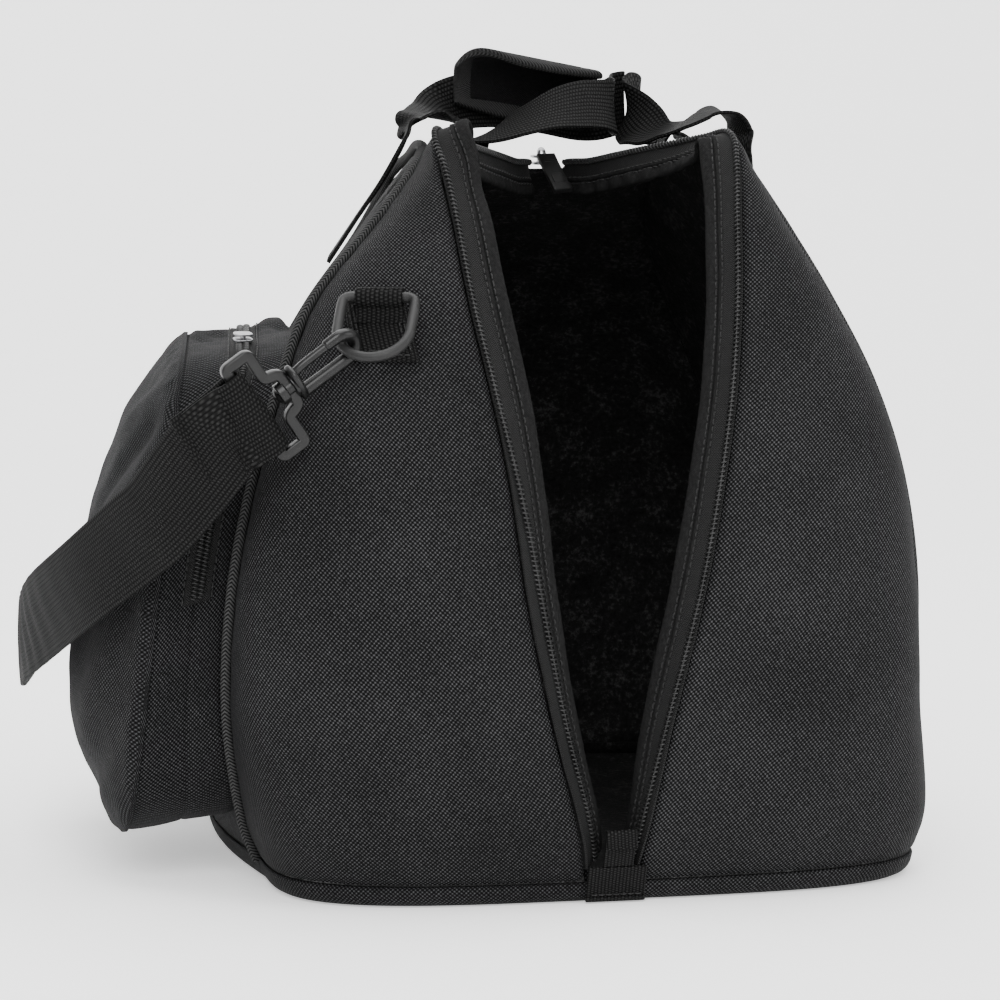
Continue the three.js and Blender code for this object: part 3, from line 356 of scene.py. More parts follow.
def weld(mesh):
    work = bmesh.new()
    work.from_mesh(mesh)
    bmesh.ops.remove_doubles(work, verts=work.verts, dist=2e-6)
    bmesh.ops.dissolve_degenerate(work, edges=work.edges, dist=1e-7)
    bmesh.ops.recalc_face_normals(work, faces=work.faces)
    work.to_mesh(mesh)
    work.free()


# Lengths over a grid, in mm, for a texture that isn't stretched.
def grid_lengths(grid):
    across = np.linalg.norm(np.diff(grid, axis=1), axis=-1)
    along = np.linalg.norm(np.diff(grid, axis=0), axis=-1)
    u = np.concatenate([np.zeros((grid.shape[0], 1)), np.cumsum(across, 1)], 1)
    v = np.concatenate([np.zeros((1, grid.shape[1])), np.cumsum(along, 0)], 0)
    v = np.repeat(v.mean(1, keepdims=True), grid.shape[1], 1)
    return np.stack([u, v], -1)


# The same for a grid that closes on itself across: one more column.
def closed_uv(grid, uv=None):
    uv = grid_lengths(grid) if uv is None else uv
    seam = np.linalg.norm(grid[:, :1] - grid[:, -1:], axis=-1)[..., None]
    return np.concatenate([uv, uv[:, -1:] + seam * vec(1, 0)], 1)


# Closed shell between an outer and an inner grid, with its rims.
def shell(mesh, outer, inner, inner_slot=0, wrap=False, uv=None):
    uv = grid_lengths(outer) if uv is None else uv
    if wrap:
        uv = closed_uv(outer, uv)
    mesh.grid(outer, uv, close=wrap)
    mesh.grid(inner, uv, inner_slot, close=wrap, flip=True)
    for rim in (0, -1):
        edge = np.stack([outer[rim], inner[rim]])
        mesh.grid(edge, np.stack([uv[rim], uv[rim] + vec(0, wall)]), close=wrap)
    if not wrap:
        for rim in (0, -1):
            edge = np.stack([outer[:, rim], inner[:, rim]])
            mesh.grid(edge, np.stack([uv[:, rim], uv[:, rim] + vec(0, wall)]))


# Directions that go with a path, without twist.
def path_frames(path, side, loop=False):
    path = np.asarray(path, float)
    if loop:
        tangent = unit(np.roll(path, -1, 0) - np.roll(path, 1, 0))
    else:
        tangent = unit(np.gradient(path, axis=0))
    first = []
    current = np.asarray(side, float)
    for t in tangent:
        current = unit(current - t * (current @ t))
        first.append(current)
    first = np.array(first)
    if loop:
        end = unit(first[-1] - tangent[0] * (first[-1] @ tangent[0]))
        other = np.cross(tangent[0], first[0])
        turn = math.atan2(end @ other, end @ first[0])
        angle = -turn * np.arange(len(path)) / len(path)
        second = np.cross(tangent, first)
        first = first * np.cos(angle)[:, None] + second * np.sin(angle)[:, None]
    return tangent, first, np.cross(tangent, first)


# Bar along a path, round or with a higher power squarer; radii may change along it.
def bar(mesh, path, radius, sides=12, side=(0, 0, 1), slot=0, loop=False, power=2.0):
    path = np.asarray(path, float)
    tangent, first, second = path_frames(path, side, loop)
    radius = np.broadcast_to(np.asarray(radius, float), (len(path),))
    angle = (np.arange(sides) + 0.5) * 2 * math.pi / sides
    c = np.sign(np.cos(angle)) * np.abs(np.cos(angle)) ** (2 / power)
    s = np.sign(np.sin(angle)) * np.abs(np.sin(angle)) ** (2 / power)
    wide = radius[:, None, None]
    ring = path[:, None] + first[:, None] * c[:, None] * wide + second[:, None] * s[:, None] * wide
    run = lengths(path)
    around = np.arange(sides + 1) / sides * 2 * math.pi * radius.mean()
    if loop:
        ring = np.concatenate([ring, ring[:1]])
        run = np.concatenate([run, [run[-1] + np.linalg.norm(path[0] - path[-1])]])
    else:
        caps = []
        for end, way in ((0, -1), (-1, 1)):
            out = way * tangent[end] * radius[end]
            caps.append(np.array([
                path[end] + (ring[end] - path[end]) * share + out * push
                for share, push in ((0.0, 0.42), (0.6, 0.34), (0.88, 0.16))
            ]))
        ring = np.concatenate([caps[0], ring, caps[1][::-1]])
        steps = vec(1, 2, 3) * 0.3
        run = np.concatenate([run[0] - steps[::-1], run, run[-1] + steps])
    uv = np.stack(np.broadcast_arrays(around[None, :], run[:, None]), -1)
    mesh.grid(ring, uv, slot, close=True)


# Flat webbing through points, with the direction of its width, rounded along both edges.
def ribbon_path(points, widths, count):
    t = np.linspace(0, len(points) - 1, count)
    return smooth(points, t), unit(smooth(widths, t))


# Cup is the rise of its middle; ripple gives a rise for each length along and across.
def ribbon(mesh, path, widths, width, thick, cup=0.0, ripple=None):
    path = np.asarray(path, float)
    tangent = unit(np.gradient(path, axis=0))
    w = unit(widths - tangent * np.sum(widths * tangent, -1, keepdims=True))
    n = np.cross(tangent, w)
    half = width / 2
    across = np.concatenate([[-1], np.linspace(-0.965, 0.965, 17), [1]]) * half
    edge = 1 - 0.5 * (np.abs(across) > half * 0.98)
    lift = cup * (1 - (across / half) ** 2)
    if ripple is not None:
        lift = lift[None, :] + ripple(lengths(path)[:, None], across[None, :])
    lift = np.broadcast_to(lift, (len(path), len(across)))
    base = path[:, None] + w[:, None] * across[None, :, None] + n[:, None] * lift[..., None]
    top = base + n[:, None] * (thick / 2 * edge)[None, :, None]
    low = base - n[:, None] * (thick / 2 * edge)[None, :, None]
    run = lengths(path)
    uv = np.stack(np.broadcast_arrays((across + half)[None, :], run[:, None]), -1)
    mesh.grid(top, uv)
    mesh.grid(low, uv, flip=True)
    for rim in (0, -1):
        edge_grid = np.stack([top[:, rim], low[:, rim]])
        mesh.grid(edge_grid, np.stack([uv[:, rim], uv[:, rim] + vec(thick, 0)]))
        end_grid = np.stack([top[rim], low[rim]])
        mesh.grid(end_grid, np.stack([uv[rim], uv[rim] + vec(0, thick)]))


# Row of short stitches along a path that lies on cloth.
def stitches(mesh, path, out, length, gap, thick, slot=1):
    run = lengths(path)
    count = int(run[-1] / (length + gap))
    for i in range(count):
        start = (i + 0.3) * (length + gap)
        wanted = np.linspace(start, start + length, 4)
        spots = at_lengths(path, wanted)
        outs = along_run(run, out, wanted)
        rise = np.array([-0.25, 0.3, 0.3, -0.25])[:, None]
        bar(mesh, spots + unit(outs) * rise, thick, sides=5, side=outs[0], slot=slot)


# Materials


# A material and the nodes that feed its shader.
class Nodes:
    def __init__(self, name):
        self.material = bpy.data.materials.new(name)
        self.material.use_nodes = True
        self.tree = self.material.node_tree
        self.shader = self.tree.nodes["Principled BSDF"]

    def math(self, kind, a, b=None, c=None):
        node = self.tree.nodes.new("ShaderNodeMath")
        node.operation = kind
        for socket, value in zip(node.inputs, (a, b, c)):
            if value is None:
                continue
            if isinstance(value, (int, float)):
                socket.default_value = value
            else:
                self.tree.links.new(value, socket)
        return node.outputs[0]

    # Lengths across and along the cloth, in millimetres.
    def cut(self):
        node = self.tree.nodes.new("ShaderNodeUVMap")
        node.uv_map = "cut"
        split = self.tree.nodes.new("ShaderNodeSeparateXYZ")
        self.tree.links.new(node.outputs[0], split.inputs[0])
        return [self.math("MULTIPLY", output, 1 / MM) for output in split.outputs[:2]]

    def noise(self, scale, detail=3, roughness=0.6):
        place = self.tree.nodes.new("ShaderNodeTexCoord")
        node = self.tree.nodes.new("ShaderNodeTexNoise")
        node.inputs["Scale"].default_value = scale
        node.inputs["Detail"].default_value = detail
        node.inputs["Roughness"].default_value = roughness
        self.tree.links.new(place.outputs["Object"], node.inputs["Vector"])
        return node.outputs[0]

    # Colour ramp; a stop's colour may be one number, for a grey.
    def ramp(self, value, stops):
        node = self.tree.nodes.new("ShaderNodeValToRGB")
        while len(node.color_ramp.elements) < len(stops):
            node.color_ramp.elements.new(0.5)
        for element, (place, colour) in zip(node.color_ramp.elements, stops):
            element.position = place
            element.color = (*np.broadcast_to(colour, 3).tolist(), 1)
        self.tree.links.new(value, node.inputs[0])
        return node.outputs[0]

    # Sine of a length, from -1 to 1 over each pitch.
    def wave(self, value, pitch):
        return self.math("SINE", self.math("MULTIPLY", value, 2 * math.pi / pitch))

    def bump(self, value, strength, distance, under=None):
        node = self.tree.nodes.new("ShaderNodeBump")
        node.inputs["Strength"].default_value = strength
        node.inputs["Distance"].default_value = distance
        self.tree.links.new(value, node.inputs["Height"])
        if under is not None:
            self.tree.links.new(under, node.inputs["Normal"])
        return node.outputs[0]

    def finish(self, colour, roughness, normal, sheen=0.0, specular=0.35, metallic=0.0):
        links = self.tree.links
        links.new(colour, self.shader.inputs["Base Color"])
        if isinstance(roughness, float):
            self.shader.inputs["Roughness"].default_value = roughness
        else:
            links.new(roughness, self.shader.inputs["Roughness"])
        links.new(normal, self.shader.inputs["Normal"])
        self.shader.inputs["Sheen Weight"].default_value = sheen
        self.shader.inputs["Sheen Roughness"].default_value = 0.5
        self.shader.inputs["Specular IOR Level"].default_value = specular
        self.shader.inputs["Metallic"].default_value = metallic
        return self.material


# Coarse woven cloth: crowns of the yarns in a chequer, with brighter flecks. The colour is painted
# lighter on the yarn crowns and darker between them, a painted highlight and painted shade of the
# weave.
def woven(name, pitch=1.9, dark=0.0010, light=0.060):
    n = Nodes(name)
    u, v = n.cut()
    wobble = n.noise(90, 2)
    u = n.math("MULTIPLY_ADD", wobble, 0.9, u)
    v = n.math("MULTIPLY_ADD", wobble, -0.7, v)
    crowns = n.math("MULTIPLY", n.wave(u, pitch), n.wave(v, pitch))
    strands = n.math("MULTIPLY", n.wave(u, pitch / 6), n.wave(v, pitch / 6))
    height = n.math("MULTIPLY_ADD", crowns, 0.5, 0.5)
    height = n.math("MULTIPLY_ADD", strands, 0.05, height)
    fleck = n.noise(900, 2, 0.7)
    # Painted highlight on the yarn crowns and painted shade between them: the tone follows the
    # weave height.
    shade = n.math("MULTIPLY_ADD", fleck, 0.55, n.math("MULTIPLY", height, 0.72))
    broad = n.noise(14, 3)
    shade = n.math("MULTIPLY_ADD", broad, 0.22, n.math("SUBTRACT", shade, 0.30))
    cool = vec(1.0, 1.0, 1.04)
    middle = dark * 0.7 + light * 0.18
    colour = n.ramp(shade, [(0.26, dark * cool), (0.55, middle * cool), (0.84, light * cool)])
    rough = n.math("MULTIPLY_ADD", height, -0.12, 0.80)
    normal = n.bump(height, 0.9, 0.0005)
    normal = n.bump(fleck, 0.25, 0.0002, normal)
    return n.finish(colour, rough, normal, specular=0.06)


# Ribbed webbing: ribs along its length, crossed by short blocks. The colour is painted lighter on
# the raised ribs and blocks and darker between them, a painted highlight and painted shade.
def webbed(name, rib=1.9, block=1.35, dark=0.0008, light=0.017):
    n = Nodes(name)
    u, v = n.cut()
    ribs = n.math("ABSOLUTE", n.wave(u, 2 * rib))
    parity = n.math("MULTIPLY", n.math("FLOOR", n.math("DIVIDE", u, rib)), math.pi)
    turned = n.math("MULTIPLY_ADD", v, 2 * math.pi / block, parity)
    blocks = n.math("MULTIPLY_ADD", n.math("SINE", turned), 0.5, 0.5)
    blocks = n.math("MULTIPLY_ADD", blocks, 0.65, 0.35)
    height = n.math("MULTIPLY", n.math("POWER", ribs, 0.7), blocks)
    fleck = n.noise(1100, 2, 0.7)
    # Painted highlight on the raised ribs and blocks and painted shade between them: the tone
    # follows their height.
    shade = n.math("MULTIPLY_ADD", fleck, 0.3, n.math("MULTIPLY", height, 0.85))
    middle = dark * 0.4 + light * 0.25
    # Top colour of the painted highlight on the rib crowns, slightly warm.
    warm_highlight = (light, light, light * 0.98)
    colour = n.ramp(shade, [(0.22, dark), (0.6, middle), (0.98, warm_highlight)])
    normal = n.bump(height, 0.9, 0.0006)
    normal = n.bump(fleck, 0.2, 0.0002, normal)
    return n.finish(colour, 0.65, normal, specular=0.07)


# Herringbone: bands of slanted threads that turn at each band's edge. The colour is painted lighter
# on the thread ridges and darker in the grooves between them, a painted highlight and painted
# shade.
def herringbone(name, band, thread, slope, light=0.026):
    n = Nodes(name)
    u, v = n.cut()
    saw = n.math("PINGPONG", u, band / 2)
    slanted = n.math("MULTIPLY_ADD", saw, slope, v)
    lines = n.math("MULTIPLY_ADD", n.wave(slanted, thread), 0.5, 0.5)
    fleck = n.noise(1000, 2, 0.7)
    # Painted highlight on the thread ridges and painted shade in the grooves: the tone follows the
    # thread wave.
    shade = n.math("MULTIPLY_ADD", fleck, 0.45, n.math("MULTIPLY", lines, 0.6))
    colour = n.ramp(shade, [(0.25, 0.0008), (0.9, light)])
    normal = n.bump(lines, 0.6, 0.0003)
    normal = n.bump(fleck, 0.2, 0.0002, normal)
    return n.finish(colour, 0.72, normal, specular=0.06)


# Napped lining: soft pile with dark and pale tufts.
def fleece(name):
    n = Nodes(name)
    tufts = n.noise(420, 5, 0.75)
    broad = n.noise(60, 3, 0.6)
    shade = n.math("MULTIPLY_ADD", broad, 0.35, n.math("MULTIPLY", tufts, 0.75))
    colour = n.ramp(shade, [(0.35, 0.004), (0.58, 0.016), (0.8, 0.09)])
    normal = n.bump(tufts, 1.0, 0.0016)
    normal = n.bump(broad, 0.5, 0.002, normal)
    return n.finish(colour, 0.95, normal, sheen=0.02, specular=0.05)


# Fine cloth tape of a bound edge. Its colour is painted lighter on the thread crowns and darker
# between them, a painted highlight and painted shade.
def fine_cloth(name):
    n = Nodes(name)
    u, v = n.cut()
    threads = n.math("MULTIPLY", n.wave(u, 0.8), n.wave(v, 0.8))
    threads = n.math("MULTIPLY_ADD", threads, 0.5, 0.5)
    fleck = n.noise(800, 3, 0.7)
    # Painted highlight on the thread crowns and painted shade between them, mixed with random
    # flecks.
    shade = n.math("MULTIPLY_ADD", fleck, 0.7, n.math("MULTIPLY", threads, 0.35))
    colour = n.ramp(shade, [(0.3, 0.002), (0.62, 0.010), (0.9, 0.03)])
    normal = n.bump(threads, 0.5, 0.00025)
    normal = n.bump(fleck, 0.35, 0.0003, normal)
    return n.finish(colour, 0.85, normal, specular=0.06)


# Sewing thread.
def thread(name):
    n = Nodes(name)
    fleck = n.noise(1500, 2)
    colour = n.ramp(fleck, [(0.3, 0.005), (0.7, 0.03)])
    return n.finish(colour, 0.55, n.bump(fleck, 0.3, 0.0002), specular=0.15)


# Moulded plastic or rubber, worn duller and paler in broad patches.
def moulded(name, dark, light, rough, grain):
    n = Nodes(name)
    fine = n.noise(700, 4, 0.7)
    worn = n.noise(70, 4, 0.65)
    colour = n.ramp(worn, [(0.35, dark), (0.75, light)])
    level = n.math("MULTIPLY_ADD", worn, 0.28, rough - 0.12)
    level = n.math("MULTIPLY_ADD", fine, 0.12, level)
    return n.finish(colour, level, n.bump(fine, grain, 0.00012), specular=0.28)


# Grey plated metal of the sliders.
def plated(name):
    n = Nodes(name)
    fine = n.noise(500, 4, 0.7)
    colour = n.ramp(fine, [(0.3, (0.22, 0.22, 0.23)), (0.75, (0.42, 0.42, 0.43))])
    level = n.math("MULTIPLY_ADD", fine, 0.3, 0.22)
    return n.finish(colour, level, n.bump(fine, 0.2, 0.0001), metallic=1.0)


cloth = woven("cloth")
lining = fleece("lining")
webbing = webbed("webbing")
edge_web = webbed("edge_webbing", rib=1.5, block=1.1, light=0.018)
zip_tape = herringbone("zip_tape", band=2.6, thread=1.05, slope=1.2)
piping_cloth = herringbone("piping_cloth", band=7.2, thread=1.7, slope=0.9, light=0.05)
bound = fine_cloth("bound_edge")
pad_cloth = woven("pad_cloth", pitch=1.0, light=0.022)
rib_cloth = herringbone("rib_band", band=60, thread=1.5, slope=0.8, light=0.03)
sewing = thread("sewing")
coil_plastic = moulded("coil_plastic", 0.006, 0.018, 0.28, 0.1)
ring_plastic = moulded("ring_plastic", 0.006, 0.018, 0.42, 0.5)
hook_plastic = moulded("hook_plastic", 0.002, 0.007, 0.24, 0.15)
slider_metal = plated("slider_metal")
soft_rubber = moulded("soft_rubber", 0.004, 0.010, 0.45, 0.3)


# Body

centre = vec(0, -10, height * 0.42)
seam_wall = 1.1


# Shares from 0 to 1, closer together near both ends.
def shares(count, ends=0.55):
    x = np.linspace(0, 1, count)
    return (1 - ends) * x + ends * (1 - np.cos(math.pi * x)) / 2


# Cloth drawn in at its seams, rolled in at the zip, with folds and undulation between.
def dressed(grid, seams, seed, zip_side=None):
    normal = grid_normals(grid, centre)
    nearest = np.minimum.reduce(seams)
    keep = step(1, 16, nearest)
    if zip_side is not None:
        keep = keep * step(0, 12, zip_side)
    broad = undulate(grid, seed, 70, 0.9) + undulate(grid, seed + 50, 22, 0.16)
    move = (broad + fold_depth(grid, folds, 0.35, 0.02)) * keep
    move -= 1.3 * bell(nearest, 2.4)
    pucker = undulate(grid, seed + 90, 9, 0.35) * bell(nearest, 6)
    move += pucker * step(0.5, 3, nearest)
    if zip_side is not None:
        move -= 1.7 * np.clip(1 - zip_side / 3.4, 0, 1) ** 2
    outer = grid + normal * move[..., None]
    thick = seam_wall + (wall - seam_wall) * step(0, 9, nearest)
    nap = undulate(grid, seed + 7, 30, 0.35) * step(2, 12, nearest)
    inner = grid - normal * (thick + nap)[..., None]
    return outer, inner


# Padded panel of cloth outside and lining inside.
def panel(name, outer, inner, wrap=False, uv=None):
    mesh = Mesh()
    shell(mesh, outer, inner, 1, wrap, uv)
    obj = mesh.make(name, [cloth, lining])


mouth_t = np.linspace(0, mouth_end, 210)
back_t = np.linspace(mouth_end, last_station, 120)
across = shares(56)
for side, name in ((1, "front_panel_right"), (-1, "front_panel_left")):
    grid, from_zip, from_seam = gusset_grid(side, mouth_t, across)
    along = grid_lengths(grid)[..., 1]
    seams = [from_seam, along, along[-1:] - along]
    outer, inner = dressed(grid, seams, 11 + side, zip_side=from_zip)
    panel(name, outer, inner)

left, _, left_seam = gusset_grid(-1, back_t, across)
right, _, right_seam = gusset_grid(1, back_t, across)
back = np.concatenate([left[:, ::-1], right], 1)
back_run = grid_lengths(back)
back_seams = [
    np.concatenate([left_seam[:, ::-1], right_seam + 1000], 1),
    np.concatenate([left_seam[:, ::-1] + 1000, right_seam], 1),
    back_run[..., 1],
    back_run[-1:, :, 1] - back_run[..., 1],
]
outer, inner = dressed(back, back_seams, 31)
panel("back_panel", outer, inner)

side_v, side_u = np.meshgrid(shares(110), shares(90), indexing="ij")
for side, name in ((1, "side_panel_right"), (-1, "side_panel_left")):
    grid = side_point(side, side_u, side_v)
    deep = grid_lengths(grid)[..., 0]
    rise = np.linalg.norm(np.diff(grid, axis=0), axis=-1)
    tall = np.cumsum(np.concatenate([np.zeros((1, grid.shape[1])), rise]), 0)
    seams = [deep, deep[:, -1:] - deep, tall, tall[-1:] - tall]
    outer, inner = dressed(grid, seams, 41 + side)
    panel(name, outer, inner)


# Base: its rim is the lower edge of every panel, in order round the bag.
def base_rim():
    low = vec(0)
    right_front = gusset_grid(1, low, shares(40))[0][0]
    left_front = gusset_grid(-1, low, shares(40))[0][0]
    u = shares(50)
    right_side = side_point(1, u, np.zeros(50))
    left_side = side_point(-1, u, np.zeros(50))
    end = vec(last_station)
    right_back = gusset_grid(1, end, shares(40))[0][0]
    left_back = gusset_grid(-1, end, shares(40))[0][0]
    return np.concatenate([
        right_front, right_side[1:], right_back[::-1][1:], left_back,
        left_side[::-1][1:], left_front[::-1][1:],
    ])


rim = base_rim()
base_rings = [
    # outline, rise of the outside, then of the inside, then what the inside is lifted
    [0.974, 1.55, 0.962, 1.55, 0],
    [0.976, 1.02, 0.963, 1.20, 0],
    [0.997, 0.98, 0.968, 1.08, 0],
    [1.000, 0.90, 0.972, 1.00, 0],
    [0.999, 0.78, 0.975, 0.90, 0.3],
    [0.996, 0.55, 0.970, 0.76, 0.8],
    [0.990, 0.34, 0.964, 0.62, 1.6],
    [0.981, 0.17, 0.957, 0.48, 2.4],
    [0.969, 0.06, 0.948, 0.34, 3.1],
    [0.955, 0.01, 0.936, 0.22, 3.5],
    [0.935, 0.00, 0.920, 0.12, 3.8],
    [0.800, 0.00, 0.790, 0.02, 4.0],
    [0.500, 0.00, 0.495, 0.00, 4.0],
    [0.150, 0.00, 0.148, 0.00, 4.0],
    [0.000, 0.00, 0.000, 0.00, 4.0],
]
outer = []
inner = []
for out_share, out_rise, in_share, in_rise, lift in base_rings:
    outer.append(rim * vec(out_share, out_share, out_rise))
    inner.append(rim * vec(in_share, in_share, in_rise) + vec(0, 0, lift))
outer = np.array(outer)
inner = np.array(inner)
around = lengths(rim)
inward = np.concatenate([[0], np.cumsum(np.linalg.norm(np.diff(outer, axis=0), axis=-1).mean(1))])
flat_uv = np.stack(np.broadcast_arrays(around[None, :], inward[:, None]), -1)
panel("base_panel", outer, inner, True, flat_uv)


# Piping and the seams

# Way out of the side seam, between the two panels that meet there.
def seam_out(side, t):
    point = seam_point(side, t)
    row = row_points(side, t)[0][::-1]
    into_gusset = unit(at_lengths(row, 12) - point)
    top_from = mouth_end / 2 + 0.5
    if t <= top_from:
        u, v = 0.08, t / top_from
    elif t <= mouth_end:
        u, v = (t - top_from) / (mouth_end - top_from), 0.93
    else:
        u, v = 0.92, (last_station - t) / (last_station - mouth_end)
    into_side = unit(side_point(side, vec(u), vec(v))[0] - point)
    return unit(-(into_gusset + into_side) + 0.25 * unit(point - centre))


piping_ends = (0.12, last_station - 0.12)
for side, name in ((-1, "piping_left"), (1, "piping_right")):
    point = seam_point(side, np.linspace(*piping_ends, 430))
    coarse = np.array([seam_out(side, t) for t in np.linspace(*piping_ends, 60)])
    out = unit(smooth(coarse, np.linspace(0, 59, 430)))
    mesh = Mesh()
    bar(mesh, point + out * (piping_radius - 0.1), piping_radius, sides=14, side=out[0])
    mesh.make(name, [piping_cloth])


# Mouth

lip_gap = 1.1
tape_edge = 9.6
tape_rise = 0.04
coil_wire = 0.42
roll_middle = 13.15
lip_t = np.linspace(0.3, mouth_end - 0.3, 300)


# Start of each row of the lip at the cloth's edge, its direction and the way it faces.
def lip_frames(side, t):
    point = edge_point(side, t)
    tangent = unit(edge_point(side, t + 0.1) - edge_point(side, t - 0.1))
    rows = row_points(side, t)
    across = unit(np.array([at_lengths(row, 2) for row in rows]) - point)
    low = row_points(side, np.maximum(t - 0.1, 0))[:, 0]
    high = row_points(side, np.minimum(t + 0.1, last_station))[:, 0]
    out = unit(np.cross(across, unit(high - low)) * side)
    across = unit(across - tangent * np.sum(across * tangent, -1, keepdims=True))
    turned = column["lip_left" if side < 0 else "lip_right"]
    lip = np.radians(smooth(turned, t))[:, None]
    along = -across * np.cos(lip) - out * np.sin(lip)
    face = out * np.cos(lip) - across * np.sin(lip)
    start = point - across * (lip_gap + 1.2 * np.sin(lip))
    return start, along, face


def on_lip(frames, s, h):
    start, along, face = frames
    s = np.broadcast_to(s, (len(start),))[:, None]
    h = np.broadcast_to(h, (len(start),))[:, None]
    return start + along * s + face * h


# Grid that follows the lip: section is a list of (s, h), each a number or a value per row.
def lip_grid(frames, section):
    return np.stack([on_lip(frames, s, h) for s, h in section], 1)


# Solid strip from a grid whose rows are closed sections, with both ends shut.
def closed_sweep(mesh, grid):
    uv = closed_uv(grid)
    mesh.grid(grid, uv, close=True)
    for end in (0, -1):
        middle = np.repeat(grid[end].mean(0)[None], grid.shape[1], 0)
        cap = np.stack([grid[end], middle])
        mesh.grid(cap, np.stack([uv[end], uv[end] + vec(0, 2)]), close=True)


for side, name in ((-1, "left"), (1, "right")):
    frames = lip_frames(side, lip_t)
    run = lengths(frames[0])
    chain_at = np.maximum(smooth(column[f"chain_{name}"], lip_t), 0)
    open_share = step(0, 3.5, chain_at)
    wavy = 0.25 * np.sin(run / 9.0 + side) + 0.15 * np.sin(run / 4.3)

    mesh = Mesh()
    top = [(s, wavy * 0.5 + tape_rise * s) for s in np.linspace(-0.7, tape_edge, 18)]
    low = [(s, h - tape_thick) for s, h in reversed(top)]
    closed_sweep(mesh, lip_grid(frames, top + low))
    mesh.make(f"zip_{name}", [zip_tape])

    # Coil chain: one long spring of flattened turns.
    where = np.linspace(0, run[-1], int(run[-1] / chain_pitch * 12))
    place = np.interp(where, run, np.arange(len(run)))
    angle = where / chain_pitch * 2 * math.pi
    chain_middle = 0.9 + chain_at + 1.0 * open_share
    middle = np.interp(where, run, chain_middle)
    half = np.interp(where, run, 1.05 + 0.85 * open_share)
    start = smooth(frames[0], place)
    along = unit(smooth(frames[1], place))
    face = unit(smooth(frames[2], place))
    coil = start + along * (middle + half * np.cos(angle))[:, None]
    coil = coil + face * (0.75 + 0.85 * np.sin(angle))[:, None]
    mesh = Mesh()
    bar(mesh, coil, coil_wire, sides=6, side=face[0])
    core = on_lip(frames, chain_middle, 0.75)
    bar(mesh, core, 0.55, sides=6, side=frames[2][0])
    mesh.make(f"chain_{name}", [coil_plastic], sharp=180, node=False)

    # Sewn strip between the tape and the bound edge, with a row of stitches.
    mesh = Mesh()
    ridge = ((7.9, -0.2), (8.3, 0.35), (9.0, 0.6), (9.7, 0.45), (10.2, -0.1))
    strip = [(s, wavy * 0.5 + 0.35 + h) for s, h in ridge]
    under = [(s, wavy * 0.5 - 0.5) for s in (10.2, 9.0, 7.9)]
    closed_sweep(mesh, lip_grid(frames, strip + under))
    stitches(mesh, on_lip(frames, 8.15, wavy * 0.5 + 0.55), frames[2], 2.2, 1.0, 0.36)
    mesh.make(f"lip_strip_{name}", [bound, sewing], node=False)

    # Bound edge: a soft roll, gathered more where it runs over the top.
    mesh = Mesh()
    gathered = step(9, 10.5, lip_t) * (1.0 if side > 0 else 0.45)
    pleat = 0.16 * np.sin(run / 1.9 + 0.6 * np.sin(run / 11)) * (0.35 + 3.2 * gathered)
    pleat = pleat + 0.12 * np.sin(run / 0.83 + 2) + 0.2 * np.sin(run / 7.0 + side)
    roll = []
    for angle in np.linspace(0, 2 * math.pi, 25)[:-1]:
        c = math.copysign(abs(math.cos(angle)) ** 0.75, math.cos(angle))
        s = math.copysign(abs(math.sin(angle)) ** 0.85, math.sin(angle))
        roll.append((
            roll_middle + (3.05 + 0.5 * pleat) * c,
            -0.5 + (1.75 + pleat * (0.5 + 0.5 * s)) * s,
        ))
    closed_sweep(mesh, lip_grid(frames, roll))
    stitches(mesh, on_lip(frames, 10.9, 0.85 + 0.3 * pleat), frames[2], 2.4, 1.1, 0.34)
    mesh.make(f"binding_{name}", [bound, sewing])


# Rounded block with its own axes, as for small moulded parts.
def block(mesh, middle, axes, size, power):
    axes = np.array([unit(a) for a in axes])
    lat = np.linspace(-math.pi / 2, math.pi / 2, 14)
    lon = np.linspace(-math.pi, math.pi, 25)[:-1]

    def curve(value):
        return np.sign(value) * np.abs(value) ** (2 / power)

    x = curve(np.cos(lat))[:, None] * curve(np.cos(lon))[None]
    y = curve(np.cos(lat))[:, None] * curve(np.sin(lon))[None]
    z = np.repeat(curve(np.sin(lat))[:, None], len(lon), 1)
    local = np.stack([x * size[0] / 2, y * size[1] / 2, z * size[2] / 2], -1)
    grid = np.asarray(middle) + local @ axes
    mesh.grid(grid, closed_uv(grid), close=True)


ex, ey, ez = np.eye(3)
top_edge = (edge_point(1, mouth_end) + edge_point(-1, mouth_end)) / 2
slider_at = top_edge + vec(0, 2, clearance + 2.5)
mesh = Mesh()
block(mesh, slider_at + vec(0, 0, -1.6), (ex, ey, ez), (8.6, 11.6, 1.5), 4)
block(mesh, slider_at + vec(0, 0, 1.5), (ex, ey, ez), (8.6, 11.0, 1.5), 4)
block(mesh, slider_at + vec(0, 2.8, 0), (ex, ey, ez), (2.0, 4.4, 4.6), 4)
bail = [
    (0, 4, 1.6), (0, 3.4, 3.8), (0, 1.2, 4.8), (0, -3, 4.9),
    (0, -6.6, 3.8), (0, -8, 1.6), (0, -7.2, -0.2), (0, -5, -0.9),
]
bail = smooth(bail, np.linspace(0, 7, 40)) + slider_at
bar(mesh, bail, 0.85, sides=10, side=ex)
mesh.make("zip_slider", [slider_metal])

